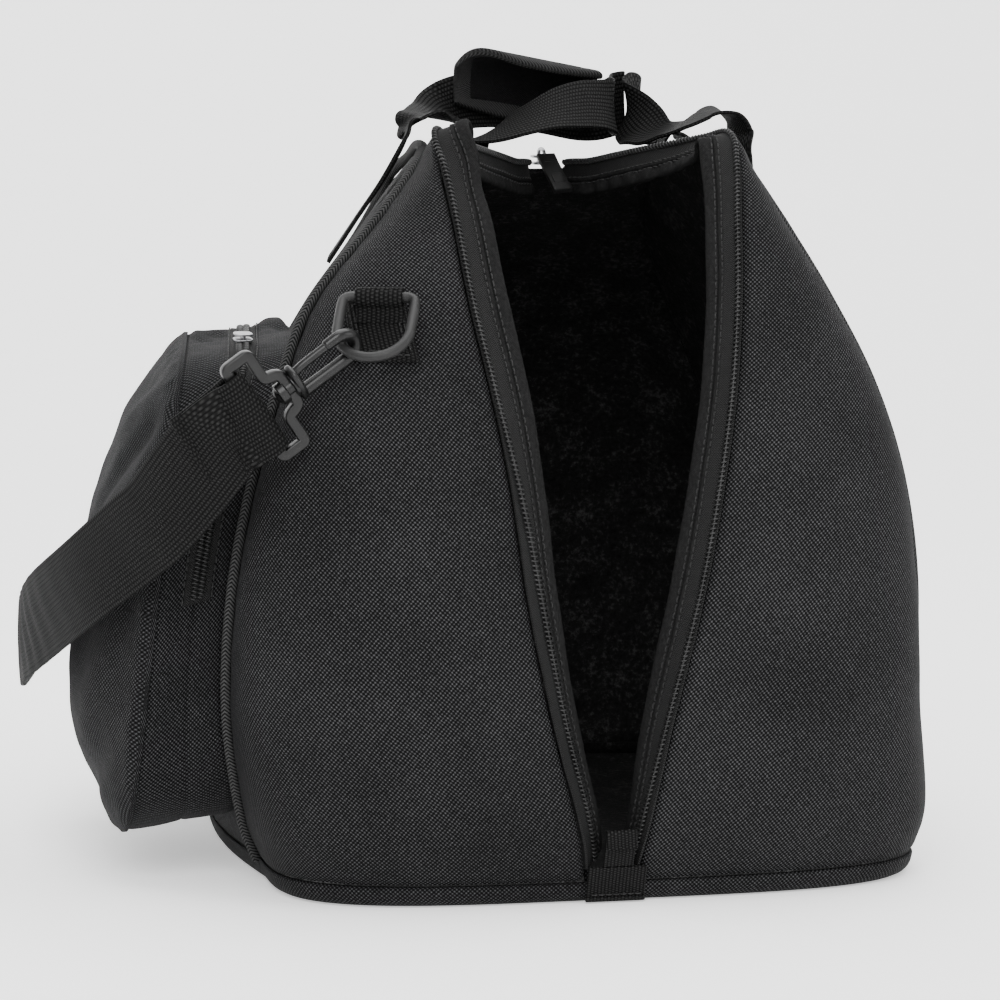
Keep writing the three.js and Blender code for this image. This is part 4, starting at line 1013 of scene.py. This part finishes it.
pull = [(0, -9.9, 2.4), (1.2, -14, -2), (3.1, -20, -8), (4.9, -25, -14)]
pull = smooth(np.array(pull) + slider_at, np.linspace(0, 3, 40))
turn = np.repeat(vec(0.92, 0.3, 0.1)[None], 40, 0)
mesh = Mesh()
ribbon(mesh, pull, turn, 9, 1.7)
tangent = unit(pull[-1] - pull[-4])
side_way = unit(turn[-1] - tangent * (turn[-1] @ tangent))
normal = unit(np.cross(tangent, side_way))
normal = normal if normal[1] < 0 else -normal
block(mesh, pull[-5] + normal * 1.0, (side_way, tangent, normal), (9.6, 4.2, 1.3), 6)
block(mesh, pull[-12] + normal * 0.9, (side_way, tangent, normal), (5.6, 7.4, 0.7), 5)
bar(mesh, [pull[10] + side_way * -2.6, pull[10] + side_way * 2.6], 1.1, sides=8, side=normal)
mesh.make("zip_pull", [soft_rubber])


# Folded tabs at the bottom of the mouth

# Point over the mouth's middle, off mm in front of the cloth at station t.
def front_at(t, off):
    point, _, _, out = gusset_frame(1, t, 0)
    moved = point + out * off
    return vec(-0.6, moved[1], moved[2])


rim_front = edge_point(1, np.array(0.0))
tab_off = clearance + 0.3 + web_thick / 2
points = [
    front_at(0.38, tab_off),
    vec(-0.6, rim_front[1] - tab_off - 0.6, rim_front[2]),
    vec(-0.6, rim_front[1] * 0.99 - tab_off - 0.5, rim_front[2] * 0.42),
    vec(-0.6, rim_front[1] * 0.98 - tab_off - 0.3, web_thick * 0.6),
]
points = smooth(np.array(points), np.linspace(0, 3, 24))
mesh = Mesh()
ribbon(mesh, points, np.repeat(ex[None], 24, 0), web_width, web_thick - 0.4)
low_end = points[-7:] + vec(0, -1.1, 0)
ribbon(mesh, low_end, np.repeat(ex[None], 7, 0), web_width + 0.4, 0.9)
across_path = np.linspace(-11.2, 11.2, 30)[:, None] * ex + (points[-8] + vec(0, -1.2, 0.6))
stitches(mesh, across_path, np.repeat(-ey[None], 30, 0), 2.2, 0.9, 0.34)
mesh.make("base_tab", [edge_web, sewing])

points = [front_at(t, tab_off) for t in (0.405, 0.6, 0.8, 0.96)]
crest = points[-1] + vec(0, -0.6, 1.0)
fold = [
    crest, points[-1] + vec(0, -1.5, 0.2),
    points[-2] + vec(0.4, -1.9, 1.0), points[-2] + vec(0.5, -2.1, -1.4),
]
points = smooth(np.array(points + fold), np.linspace(0, 7, 40))
mesh = Mesh()
ribbon(mesh, points, np.repeat(unit(vec(1, 0, 0.04))[None], 40, 0), 13, 1.1)
mesh.make("zip_end_tab", [edge_web])


# Side pocket

pocket_middle = vec(0, (pocket_back - pocket_front) / 2, (pocket_high + pocket_low) / 2)
pocket_half = vec(0, (pocket_back + pocket_front) / 2, (pocket_high - pocket_low) / 2)
fine_v, fine_u = np.meshgrid(np.linspace(0, 1, 161), np.linspace(0, 1, 121), indexing="ij")
left_side = side_point(-1, fine_u, fine_v).reshape(-1, 3)


# The side panel's x at places y and z, from the nearest four fine points.
def side_x(y, z):
    gap = (left_side[:, 1] - y[:, None]) ** 2 + (left_side[:, 2] - z[:, None]) ** 2
    near = np.argpartition(gap, 4, axis=1)[:, :4]
    weight = 1 / (np.take_along_axis(gap, near, 1) + 0.05)
    return np.sum(left_side[near, 0] * weight, 1) / weight.sum(1)


# The pocket's outline, evenly spaced: from its front up, over the top and round below.
def pocket_outline(count):
    angle = np.linspace(0, 2 * math.pi, 481)
    c = np.cos(angle)
    s = np.sin(angle)
    fine = np.stack([
        np.zeros_like(angle),
        pocket_middle[1] - np.sign(c) * np.sqrt(np.abs(c)) * pocket_half[1],
        pocket_middle[2] + np.sign(s) * np.sqrt(np.abs(s)) * pocket_half[2],
    ], -1)
    return at_lengths(fine, np.linspace(0, lengths(fine)[-1], count + 1)[:-1])


# The x of the pocket's far rim: less far out at the top and towards the rear.
def rim_x(points):
    back = (points[..., 1] - pocket_middle[1] + pocket_half[1]) / (2 * pocket_half[1])
    rise = (points[..., 2] - pocket_low) / (pocket_high - pocket_low)
    near = pocket_out - 24 * rise
    return -(near + (-12 - 17 * rise * rise) * back)


around_count = 420
outline = pocket_outline(around_count)
rim_from = side_x(outline[:, 1], outline[:, 2]) - 0.9
rim_to = rim_x(outline) + pocket_wall + clearance


# How far the pocket has dropped at its face: most at the front, nothing at the rear.
def drop(y):
    return pocket_sag * (pocket_middle[1] + pocket_half[1] - y) / (2 * pocket_half[1])


rim_out = unit(np.stack([
    np.zeros(around_count), np.gradient(outline[:, 2]) * -1, np.gradient(outline[:, 1]),
], -1))
rim_out[0] = rim_out[1]
rim_out[-1] = rim_out[-2]
if rim_out[10] @ (outline[10] - pocket_middle) < 0:
    rim_out = -rim_out
pocket_run = np.linspace(0, 1, around_count + 1)[:-1]


# Points of the gusset at share w of the way from the bag to the pocket's face.
def pocket_at(w):
    w = np.broadcast_to(w, (around_count,))
    sunk = outline[:, 2] - drop(outline[:, 1]) * w
    return np.stack([rim_from + (rim_to - rim_from) * w, outline[:, 1], sunk], -1)


# The zip's place across the gusset, and the share of the outline that carries it:
# from half way up the front over the top to half way down the rear.
zip_at = 0.46
has_zip = step(-0.005, 0.01, pocket_run) * (1 - step(0.49, 0.505, pocket_run))
depth = np.abs(rim_to - rim_from)

# The gusset is crumpled most along the top and drawn in by the zip.
top_share = step(0.19, 0.24, pocket_run) * (1 - step(0.36, 0.43, pocket_run))


# How far the gusset's cloth stands off its even shape at points of share w.
def crumple(points, w):
    puff = undulate(points, 71, 34, 1.5) + undulate(points, 72, 13, 0.55)
    shape = puff * (0.35 + 1.15 * top_share[:, None])
    low = step(0.5, 0.62, pocket_run)[:, None] * 0.6
    shape = shape - 1.2 * low * np.sin(math.pi * w)
    keep = step(0, 0.12, w) * step(0, 0.12, 1 - w)
    near_zip = bell((w - zip_at) * depth[:, None], 7) * has_zip[:, None]
    return shape * keep * (1 - 0.85 * near_zip) - 0.8 * near_zip * keep


w_steps = shares(64, 0.35)
grid = np.stack([pocket_at(w) for w in w_steps], 1)
w_grid = np.broadcast_to(w_steps[None, :], grid.shape[:2])
move = crumple(grid, w_grid)
edge_of_tape = np.abs((w_grid - zip_at) * depth[:, None])
tape_ridge = bell(edge_of_tape - 4.2, 0.9) * has_zip[:, None]
seam_low = bell((w_grid - zip_at) * depth[:, None], 1.2) * (1 - has_zip[:, None])
move = move + 0.8 * tape_ridge - 0.7 * seam_low
move = move - 1.0 * bell(w_grid * depth[:, None], 2.2)
move = move - 1.3 * bell((1 - w_grid) * depth[:, None], 2.6)
move = np.clip(move, -2.6, 4.5)
outer = grid + rim_out[:, None] * move[..., None]
inner = grid + rim_out[:, None] * (move - 1.9)[..., None]
uv = np.stack(np.broadcast_arrays(lengths(outline)[:, None], w_steps[None, :] * depth.mean()), -1)
mesh = Mesh()
outer, inner, uv = (a.transpose(1, 0, 2) for a in (outer, inner, uv))
shell(mesh, outer, inner, 1, wrap=True, uv=uv)


# A strip on the gusset: offset across it in mm from the zip's line, height off the cloth.
def on_gusset(x, h, keep=slice(None)):
    w = zip_at + x / depth
    spot = pocket_at(w)
    lift = crumple(spot[:, None], w[:, None])
    return (spot + rim_out * (lift + h))[keep]


keep = slice(0, int(around_count * 0.5))
for x in (-6.2, 6.2):
    stitches(mesh, on_gusset(x, 0.35, keep), rim_out[keep], 2.4, 1.2, 0.36, slot=2)
obj = mesh.make("pocket_gusset", [cloth, lining, sewing])
gusset_flat = (float(depth.mean()) * MM, lengths(outline)[-1] * MM)

# Pocket's face: a full belly with folds from its upper front corner.
rings = np.concatenate([[1.0], 1 - np.linspace(0.006, 0.985, 66) ** 1.15, [0.004]])
spokes = outline - pocket_middle
flat = pocket_middle + spokes[None] * rings[:, None, None]
belly = pocket_belly * (1 - rings ** 2.4)
face = np.stack([
    rim_x(flat) - belly[:, None], flat[..., 1], flat[..., 2] - drop(flat[..., 1]),
], -1)
pocket_folds = [
    # y, z, y, z, height, breadth
    [-92, 206, -30, 150, -5.0, 8],
    [-96, 190, -60, 120, 3.4, 10],
    [-74, 214, 0, 176, 3.0, 9],
    [-50, 216, 28, 196, -3.2, 8],
    [-20, 206, 62, 190, 2.2, 9],
    [-98, 150, -84, 88, -2.6, 9],
    [-90, 108, -50, 60, 2.2, 12],
    [-88, 62, -30, 32, -3.0, 9],
    [20, 170, 74, 120, -2.2, 13],
    [44, 90, 80, 40, 2.4, 12],
    [-30, 60, 30, 36, 2.2, 12],
]
fold_move = fold_depth(face[..., 1:], pocket_folds, 0.3, 0.03)
rim_gap = (1 - rings)[:, None] * np.linalg.norm(spokes, axis=-1)[None]
fold_move = fold_move + undulate(face, 81, 60, 1.4) + undulate(face, 82, 19, 0.35)
fold_move = fold_move * step(0, 20, rim_gap)
pucker = undulate(face, 83, 12, 0.9) * bell(rim_gap, 9) * step(0, 3, rim_gap)
fold_move = fold_move + pucker - 1.5 * bell(rim_gap, 2.5)
fold_move = np.clip(fold_move, -7, 6)
outer = face - fold_move[..., None] * ex
inner = outer + ex * (pocket_wall - 0.6)
flat_uv = np.stack([face[..., 1] + 300, face[..., 2] * 1.02], -1)
mesh = Mesh()
shell(mesh, outer, inner, 1, wrap=True, uv=flat_uv)
obj = mesh.make("pocket_face", [cloth, lining])

# Pocket's zip: two rows of coil on a narrow tape.
mesh = Mesh()
strip = np.stack(
    [on_gusset(x, 0.75, keep) for x in np.linspace(-5.6, 5.6, 9)]
    + [on_gusset(x, 0.25, keep) for x in np.linspace(5.6, -5.6, 9)], 1,
)
closed_sweep(mesh, strip)
mesh.make("pocket_zip", [zip_tape])

small_pitch = 1.7
run = lengths(on_gusset(0, 1.5, keep))
where = np.linspace(2, run[-1] - 2, int(run[-1] / small_pitch * 10))
place = np.interp(where, run, np.arange(len(run)))
out = unit(smooth(rim_out[keep], place))
angle = where / small_pitch * 2 * math.pi
turns = ex * (1.3 * np.cos(angle))[:, None]
rise = out * (0.7 * np.sin(angle))[:, None]
mesh = Mesh()
for x in (-1.45, 1.45):
    bar(mesh, smooth(on_gusset(x, 1.5, keep), place) + turns + rise, 0.38, sides=6, side=out[0])
mesh.make("pocket_chain", [coil_plastic], sharp=180, node=False)

spot = int(7 / 36 * around_count)
slider_spot = on_gusset(0, 0)[spot] + rim_out[spot] * 3.9
axes = (ex, unit(np.cross(rim_out[spot], ex)), rim_out[spot])
mesh = Mesh()
block(mesh, slider_spot - rim_out[spot] * 1.2, axes, (8.2, 10.6, 1.3), 4)
block(mesh, slider_spot + rim_out[spot] * 1.2, axes, (8.0, 10.0, 1.2), 4)
block(mesh, slider_spot, axes, (2, 5, 3.6), 4)
mesh.make("pocket_slider", [slider_metal])


# Ring patches, rings and hooks

hook_wire = 2.9
bar_wire = 2.6
ring_half = ring_inner / 2 + ring_wire
ring_drop = 18
ring_lean = math.radians(20)
hook_reach = 48
loop_half = 6.6
loop_long = 30
patch_half = 13.3
patch_low = -0.34
patch_high = 0.38
patch_tall = 30


def arc_points(start, stop, count, radius, x, y):
    angle = np.linspace(start, stop, count)
    return [[x + radius * math.cos(a), y + radius * math.sin(a)] for a in angle]


# Path through flat corners in the plane of two directions, rounded and evenly spaced.
def flat_path(origin, a, b, flat, count, loop=False):
    points = np.array([origin + a * x + b * y for x, y in flat])
    if loop:
        points = np.concatenate([points, points[:1]])
    fine = smooth(points, np.linspace(0, len(points) - 1, 40 * len(points)))
    path = at_lengths(fine, np.linspace(0, lengths(fine)[-1], count + (1 if loop else 0)))
    return path[:-1] if loop else path


# Closed path through corners in a plane, in half millimetres, with the corners eased.
def cornered(origin, a, b, flat):
    points = np.array([origin + a * x + b * y for x, y in flat + flat[:1]])
    run = lengths(points)
    path = at_lengths(points, np.linspace(0, run[-1], int(run[-1] / 0.5) + 1))[:-1]
    return sum(np.roll(path, k, 0) for k in range(-3, 4)) / 7


# Patch, ring and hook at station t and d mm round from the zip line. The hook hangs the
# way of pull, its flat side to facing, its loop turned by some degrees.
# Gives back the frame bar's middle and the hook's three directions.
def hanger(name, t, d, pull, facing, turn):
    point, across, up, out = gusset_frame(-1, t, d)
    if up[2] < 0:
        up = -up
    keep_out = clearance + 0.5 + 1.8 + ring_wire + clearance + 1.8 - 0.9
    bar_at = point + up * 13 + out * keep_out

    # Patch sewn on the body, and its webbing rolled round the ring's bar.
    rows = np.linspace(patch_low, patch_high, 26)
    cols = np.linspace(-patch_half, patch_half, 26)
    found = [[gusset_frame(-1, t + row, d + col) for col in cols] for row in rows]
    surface = np.array([[spot[0] for spot in line] for line in found])
    facing_out = np.array([[spot[3] for spot in line] for line in found])
    from_row = np.minimum(rows - rows[0], rows[-1] - rows) / (patch_high - patch_low) * patch_tall
    from_col = np.minimum(cols - cols[0], cols[-1] - cols)
    edge = np.minimum(from_row[:, None], from_col[None])
    lift = 0.9 + 1.6 * step(-0.5, 1.6, edge) + undulate(surface, 95, 14, 0.2)
    mesh = Mesh()
    shell(mesh, surface + facing_out * lift[..., None], surface + facing_out * 0.6)
    for inset in (2.6, 4.4):
        corner_r = [rows[0] + inset * 0.024, rows[-1] - inset * 0.024]
        corner_c = [cols[0] + inset, cols[-1] - inset]
        for line in (
            [(corner_r[0], c) for c in np.linspace(*corner_c, 8)],
            [(r, corner_c[1]) for r in np.linspace(*corner_r, 8)],
            [(corner_r[1], c) for c in np.linspace(*corner_c[::-1], 8)],
            [(r, corner_c[0]) for r in np.linspace(*corner_r[::-1], 8)],
        ):
            found = [gusset_frame(-1, t + r, d + c) for r, c in line]
            path = np.array([f[0] + f[3] * 2.6 for f in found])
            stitches(mesh, path, np.array([f[3] for f in found]), 2.2, 0.9, 0.32)
    r = ring_wire + 0.25 + 0.9
    turned = np.linspace(0.35 * math.pi, 2.12 * math.pi, 30)
    sleeve = np.array([bar_at + up * (r * math.cos(a)) + out * (r * math.sin(a)) for a in turned])
    tail = np.array([bar_at - up * 6.5 - out * 3.4, bar_at - up * 10 - out * 4.0])
    sleeve = np.concatenate([sleeve, smooth(np.array([sleeve[-1], *tail]), np.linspace(0.3, 2, 8))])
    ribbon(mesh, sleeve, np.repeat(across[None], len(sleeve), 0), ring_inner - 6.2, 1.6)
    mesh.make(f"ring_patch_{name}", [webbing, sewing])

    # The ring.
    down = -up * math.cos(ring_lean) + out * math.sin(ring_lean)
    flat = [[0, 0], [ring_half - 4.5, 0], [ring_half - 1.3, 0.9], [ring_half, 4]]
    flat += arc_points(0, math.pi, 13, ring_half, 0, ring_drop)
    flat += [[-ring_half, 4], [-ring_half + 1.3, 0.9], [-ring_half + 4.5, 0]]
    path = flat_path(bar_at, across, down, flat, 150, loop=True)
    mesh = Mesh()
    bar(mesh, path, ring_wire, sides=18, side=out, loop=True)
    mesh.make(f"d_ring_{name}", [ring_plastic], sharp=180)

    # The hook: a long loop through the ring, a swivel barrel and the bar frame.
    along = unit(pull)
    face_to = unit(facing - along * (facing @ along))
    cross = unit(np.cross(along, face_to))
    toward = unit(vec(along @ across, along @ down))
    touch = bar_at + across * (ring_half * toward[0]) + down * (ring_drop + ring_half * toward[1])
    tip = touch - along * (ring_wire + clearance + 0.1 + hook_wire)
    turned = math.radians(turn)
    opened = face_to * math.cos(turned) + cross * math.sin(turned)
    shut = np.cross(opened, along)
    half = loop_half
    long = loop_long
    mesh = Mesh()
    nose = [[long - 2, -half], [long - half * 0.9, -half]]
    nose += arc_points(-math.pi / 2, -3 * math.pi / 2, 10, half, half, 0)
    nose += [[half + 5, half]]
    path = flat_path(tip, along, opened, nose, 90)
    radius = np.interp(np.linspace(0, 1, 90), [0, 0.2, 0.6, 1], [3.0, hook_wire, 3.0, 2.4])
    bar(mesh, path, radius, sides=16, side=shut)
    gate = [[half + 4.5, half - 0.2], [long - half, half - 0.6], [long - 1, half - 1.6]]
    path = flat_path(tip, along, opened, gate, 40)
    bar(mesh, path, 1.9, sides=14, side=shut)
    block(mesh, tip + along * (long - 0.6), (shut, opened, along), (11.5, 17.0, 4.0), 3)
    spans = np.linspace(long, long + 9, 44)
    path = np.array([tip + along * x for x in spans])
    marks = [0, 1.8, 2.1, 5.0, 5.3, 8.5, 8.8, 9]
    radius = np.interp(spans - long, marks, [5.4, 5.4, 3.2, 3.2, 4.8, 4.8, 4.2, 3.6])
    bar(mesh, path, radius, sides=24, side=shut)
    line = hook_reach + 3
    top = line - 11
    half_bar = strap_width / 2 + 0.7 + bar_wire
    shoulder = [[top, half_bar], [top, 9.5], [top - 5.5, 8], [top - 6.5, 6]]
    frame_flat = [[x, -y] for x, y in reversed(shoulder)]
    frame_flat += [[line, -half_bar], [line, half_bar]] + shoulder
    path = cornered(tip, along, cross, frame_flat)
    bar(mesh, path, 2.35, sides=20, side=face_to, loop=True, power=4.5)
    mesh.make(f"snap_hook_{name}", [hook_plastic], sharp=60)
    return tip + along * line, along, cross, face_to


front = hanger("front", 5.68, 39.5, vec(-0.8, -0.05, -0.57), vec(0.24, -0.97, -0.06), 64)
rear = hanger("back", 15.7, 44, vec(-0.7, 0.36, -0.62), vec(-0.3, 0.9, 0.3), 0)


# Strap

# The strap's path round a hook's frame bar, from its sewn end outward.
def wrap_round(end):
    spot, along, cross, face_to = end
    turn = bar_wire + clearance + 0.25 + strap_thick / 2
    flat = [
        [30, -1.6], [20, -1.7], [9, -2.5], [3, -turn], [0, -turn], [-turn * 0.72, -turn * 0.72],
        [-turn, 0], [-turn * 0.72, turn * 0.72], [0, turn], [3, turn], [9, 2.5], [20, 1.7],
    ]
    return [spot + along * x + face_to * y for x, y in flat]


strap_run = [
    [-186, -138, 166, 0.5, -0.3, -0.81],
    [-197, -122, 153, 0.45, -0.4, -0.8],
    [-216, -90, 131, 0.3, -0.5, -0.8],
    [-228, -48, 112, 0.2, -0.4, -0.9],
    [-232, -5, 97, 0, -0.3, -0.95],
    [-226, 45, 88, 0, 0, -1],
    [-211, 92, 92, -0.1, 0.3, -0.95],
    [-188, 128, 112, -0.3, 0.5, -0.8],
    [-158, 152, 142, -0.5, 0.45, -0.75],
]
points = wrap_round(front)
turns = [front[2]] * len(points)
points += [vec(*row[:3]) for row in strap_run]
turns += [unit(vec(*row[3:])) for row in strap_run]
back_wrap = wrap_round(rear)[::-1]
points += back_wrap
turns += [rear[2]] * len(back_wrap)
turns = np.array([-w if w[2] > 0 else w for w in turns])
path, turns = ribbon_path(np.array(points), turns, 760)
strap_bend = lengths(path)[np.argmin(path[:, 0])]


# Wrinkles across the strap where it bends at its far left.
def strap_ripple(run, across):
    near = bell(run - strap_bend, 58)
    waves = np.sin(run / 2.3 + 1.2 * np.sin(across / 8) + 0.7 * np.sin(run / 13))
    slow = 0.5 * np.sin(run / 24 + across / 15)
    return 0.42 * near * waves * (0.6 + 0.4 * np.cos(across / 9)) + 0.25 * slow


mesh = Mesh()
ribbon(mesh, path, turns, strap_width, strap_thick, cup=0.7, ripple=strap_ripple)
for spot, along, cross, face_to in (front, rear):
    for x in (12, 16):
        middle = spot + along * x + face_to * (2.35 + strap_thick / 2)
        line = np.linspace(-16.5, 16.5, 30)[:, None] * cross + middle
        stitches(mesh, line, np.repeat(face_to[None], 30, 0), 2.3, 1.0, 0.36)
mesh.make("shoulder_strap", [webbing, sewing])


# Handles

# Point sewn on the side panel at share u along and v up, off mm above it, and its width.
def sewn_on(side, u, v, off):
    at = lambda a, b: side_point(side, vec(a), vec(b))[0]
    point = at(u, v)
    along = unit(at(u + 0.04, v) - at(u - 0.04, v))
    rise = at(u, min(v + 0.04, 1)) - at(u, v - 0.04)
    out = unit(np.cross(rise, along))
    if out[0] * side < 0:
        out = -out
    return point + out * off, along


def side_end(side, u):
    return [sewn_on(side, u, v, off) for v, off in ((0.8, 2.6), (0.87, 2.9), (0.93, 4.6))]


# Points of the left top, between the side seam and the zip line.
top_fine = np.array([
    (1 - u) * seam_point(-1, 9 + 4 * v) + u * edge_point(-1, 9 + 4 * v)
    for v in np.linspace(0, 1, 81) for u in np.linspace(0, 1, 41)
])


def top_end(places):
    def at(x, y):
        gap = (top_fine[:, 0] - x) ** 2 + (top_fine[:, 1] - y) ** 2
        near = np.argsort(gap)[:4]
        weight = 1 / (gap[near] + 0.05)
        z = np.sum(top_fine[near, 2] * weight) / weight.sum()
        return vec(x, y, z + clearance + 1.1 + web_thick / 2)
    return [(at(x, y), unit(at(x + 4, y + 2.6) - at(x - 4, y - 2.6))) for x, y in places]


# Places of the webbing's middle line, z from the bag's height, and the way of its width.
left_run = [
    [-66.8, -42, -2, 0.18, 0.98, 0],
    [-65, -41.5, 3.5, 0, 0.98, 0],
    [-59, -37, 8, -0.25, 0.95, 0],
    [-52.5, -24, 8, -0.7, 0.65, 0.15],
    [-46.5, -7, 8.5, -0.85, 0.35, 0.3],
    [-42, 8, 9.5, -0.85, 0.3, 0.35],
    [-37, 17.6, 11.5, -0.6, 0.1, 0.6],
    [-27, 17.4, 14.5, 0, 0, 1],
    [-8, 17.3, 15, 0, 0, 1],
    [10, 17.3, 12, 0, 0, 1],
    [26, 17.6, 9, 0, 0, 1],
    [36, 17, 10, 0, 0, 1],
    [42.5, 12, 14.5, 0, 0, 1],
    [42.5, 5.5, 15.5, 0, 0, 1],
    [37, 1.5, 14.5, 0, 0, 1],
    [34, -6, 13, 0, 0, 1],
    [33, -15, 12, 0, 0.1, 1],
    [30.5, -22, 12.2, 0, 0.4, 0.92],
    [24, -26.5, 13, 0, 0.55, 0.83],
    [16, -28.5, 13, 0, 0.6, 0.8],
    [3, -30, 10.8, 0.05, 0.75, 0.65],
    [-8, -27.5, 7, 0.1, 0.85, 0.5],
    [-18, -21.5, 2.8, 0.25, 0.87, 0.4],
    [-26, -13.5, -0.5, 0.5, 0.82, 0.2],
    [-30.5, -5.5, -3.4, 0.7, 0.7, 0.05],
]
right_run = [
    [82.5, -46, -6, -0.18, 0.98, 0],
    [83, -46, 1, -0.18, 0.98, 0],
    [79.5, -45, 7.5, -0.1, 1, 0],
    [71.5, -43, 10, 0, 0.98, 0.1],
    [62.5, -39.5, 6, 0.15, 0.95, 0.1],
    [55, -33, 2, 0.35, 0.9, 0.15],
    [48.5, -24, 0.5, 0.4, 0.8, 0.4],
    [44, -14.5, 5, 0.15, 0.45, 0.88],
    [41.5, -6.5, 11.5, 0, 0.1, 1],
    [44.5, -0.5, 15, 0, 0, 1],
    [48.5, 4, 13.5, 0, 0.1, 1],
    [49.8, 9, 8, 0, 0.25, 0.97],
    [52.5, 13.5, 1, -0.15, 0.7, 0.6],
    [58.5, 15, -3, -0.25, 0.95, 0.1],
    [66, 12.5, 0, -0.2, 0.95, 0.1],
    [73.5, 12, -5, 0, 1, 0],
]


def handle_ripple(run, across):
    return 0.22 * np.sin(run / 17 + across / 9)


def handle(name, start, run, end):
    free = [(vec(x, y, height + z), unit(vec(*way))) for x, y, z, *way in run]
    points, turns = zip(*start, *free, *reversed(end))
    path, turns = ribbon_path(np.array(points), np.array(turns), 420)
    mesh = Mesh()
    ribbon(mesh, path, turns, web_width, web_thick, cup=0.35, ripple=handle_ripple)
    mesh.make(name, [webbing, sewing])


handle("handle_left", side_end(-1, 0.46), left_run, top_end([[-40, 20], [-36.5, 12.5], [-33, 4]]))
handle("handle_right", side_end(1, 0.46), right_run, side_end(1, 0.78))

# Grip wrap: a thin pad bent round the webbing, with a ribbed band along its rims.
grip_radius = 19
grip_around = 50
grip_band = 7.6
grip_pad = 3.8
grip_from = vec(-34, -3, height + 21.5)
grip_to = vec(30, -3, height + 9)
grip_share, grip_turn = np.meshgrid(shares(80, 0.7), shares(110, 0.6), indexing="ij")
near_end = np.maximum(0, 1 - 2 * grip_share) ** 2.5
far_end = np.maximum(0, 2 * grip_share - 1) ** 3
low_angle = np.radians(56 + 96 * near_end + 20 * far_end)
high_angle = np.radians(216 - 8 * near_end - 12 * far_end)
angle = low_angle + (high_angle - low_angle) * grip_turn
span = np.linalg.norm(grip_to - grip_from)
rim_gap = np.minimum.reduce([
    grip_share * span, (1 - grip_share) * span,
    grip_turn * grip_around, (1 - grip_turn) * grip_around,
])
rounding = np.sqrt(np.clip(1 - (1 - np.clip(rim_gap / 2.2, 0, 1)) ** 2, 0, 1))


def grip_surface(radius):
    radial = np.stack([np.zeros_like(angle), -np.cos(angle), np.sin(angle)], -1)
    middle = grip_from + (grip_to - grip_from) * grip_share[..., None]
    return middle + radial * radius[..., None]


middle_radius = grip_radius - grip_pad / 2
body_wave = undulate(grip_surface(np.full_like(angle, middle_radius)), 61, 40, 0.5)
band = bell(rim_gap - grip_band, 0.7)
half_pad = (0.35 + 1.5 * rounding) - 0.55 * band * step(1, 4, rim_gap)
outer = grip_surface(middle_radius + half_pad + 0.3 * body_wave)
inner = grip_surface(middle_radius - half_pad + 0.3 * body_wave)
uv = np.stack([grip_turn * grip_around, grip_share * span], -1)
mesh = Mesh()
outer_slot = np.where(rim_gap[:-1, :-1] < grip_band, 1, 0).ravel()
shell(mesh, outer, inner, uv=uv)
mesh.slots = [outer_slot, outer_slot] + [np.full(len(rim), 1) for rim in mesh.slots[2:]]
obj = mesh.make("grip_wrap", [pad_cloth, rib_cloth])


# Floor, light and camera

sweep_from = 1100
sweep = 900
profile = [(-3000, 0), (-1000, 0), (0, 0), (700, 0), (sweep_from, 0)]
profile += [
    (sweep_from + sweep * math.sin(a), sweep - sweep * math.cos(a))
    for a in np.linspace(0.1, math.pi / 2, 14)
]
profile += [(2000, 1800), (2000, 4200)]
rows = [[Vector((x * MM, y * MM, z * MM)) for x in (-4500, 4500)] for y, z in profile]
ground = bpy.data.meshes.new("backdrop")
ground.from_pydata(
    [p for row in rows for p in row], [],
    [(2 * i, 2 * i + 1, 2 * i + 3, 2 * i + 2) for i in range(len(rows) - 1)],
)
backdrop = bpy.data.objects.new("backdrop", ground)
bpy.context.scene.collection.objects.link(backdrop)
for polygon in ground.polygons:
    polygon.use_smooth = True
paper = Nodes("paper")
grain = paper.noise(40, 3)
shade = paper.ramp(grain, [(0.3, 0.90), (0.7, 0.92)])
ground.materials.append(paper.finish(shade, 0.85, paper.bump(grain, 0.02, 0.0005), specular=0.1))
paper.shader.inputs["Emission Color"].default_value = (1, 1, 1, 1)
paper.shader.inputs["Emission Strength"].default_value = 0.55


def softbox(name, spot, aim, width, tall, power):
    data = bpy.data.lights.new(name, "AREA")
    data.shape = "RECTANGLE"
    data.size = width
    data.size_y = tall
    data.energy = power
    light = bpy.data.objects.new(name, data)
    light.location = spot
    light.rotation_euler = (Vector(aim) - Vector(spot)).to_track_quat("-Z", "Y").to_euler()
    bpy.context.scene.collection.objects.link(light)


softbox("key", (-0.7, -2.4, 1.9), (0, 0, 0.15), 1.8, 1.6, 80)
softbox("fill", (2.1, -1.6, 1.2), (0, 0, 0.15), 1.6, 1.6, 30)
softbox("over", (0.1, 0.1, 2.4), (0, 0, 0.1), 2.2, 2.2, 75)
softbox("low_front", (0.3, -2.8, 0.5), (0, 0, 0.16), 2.6, 0.9, 14)

world = bpy.data.worlds.new("studio")
bpy.context.scene.world = world
world.use_nodes = True
world.node_tree.nodes["Background"].inputs["Color"].default_value = (1, 1, 1, 1)
world.node_tree.nodes["Background"].inputs["Strength"].default_value = 0.85

camera_data = bpy.data.cameras.new("camera")
camera_data.lens = 142.56
camera_data.sensor_width = 36
camera_data.clip_start = 0.05
camera = bpy.data.objects.new("camera", camera_data)
camera.location = (-0.386, -1.7426, 0.3402)
camera.rotation_euler = Vector((0.2068, 0.9728, -0.1045)).to_track_quat("-Z", "Y").to_euler()
bpy.context.scene.collection.objects.link(camera)
bpy.context.scene.camera = camera
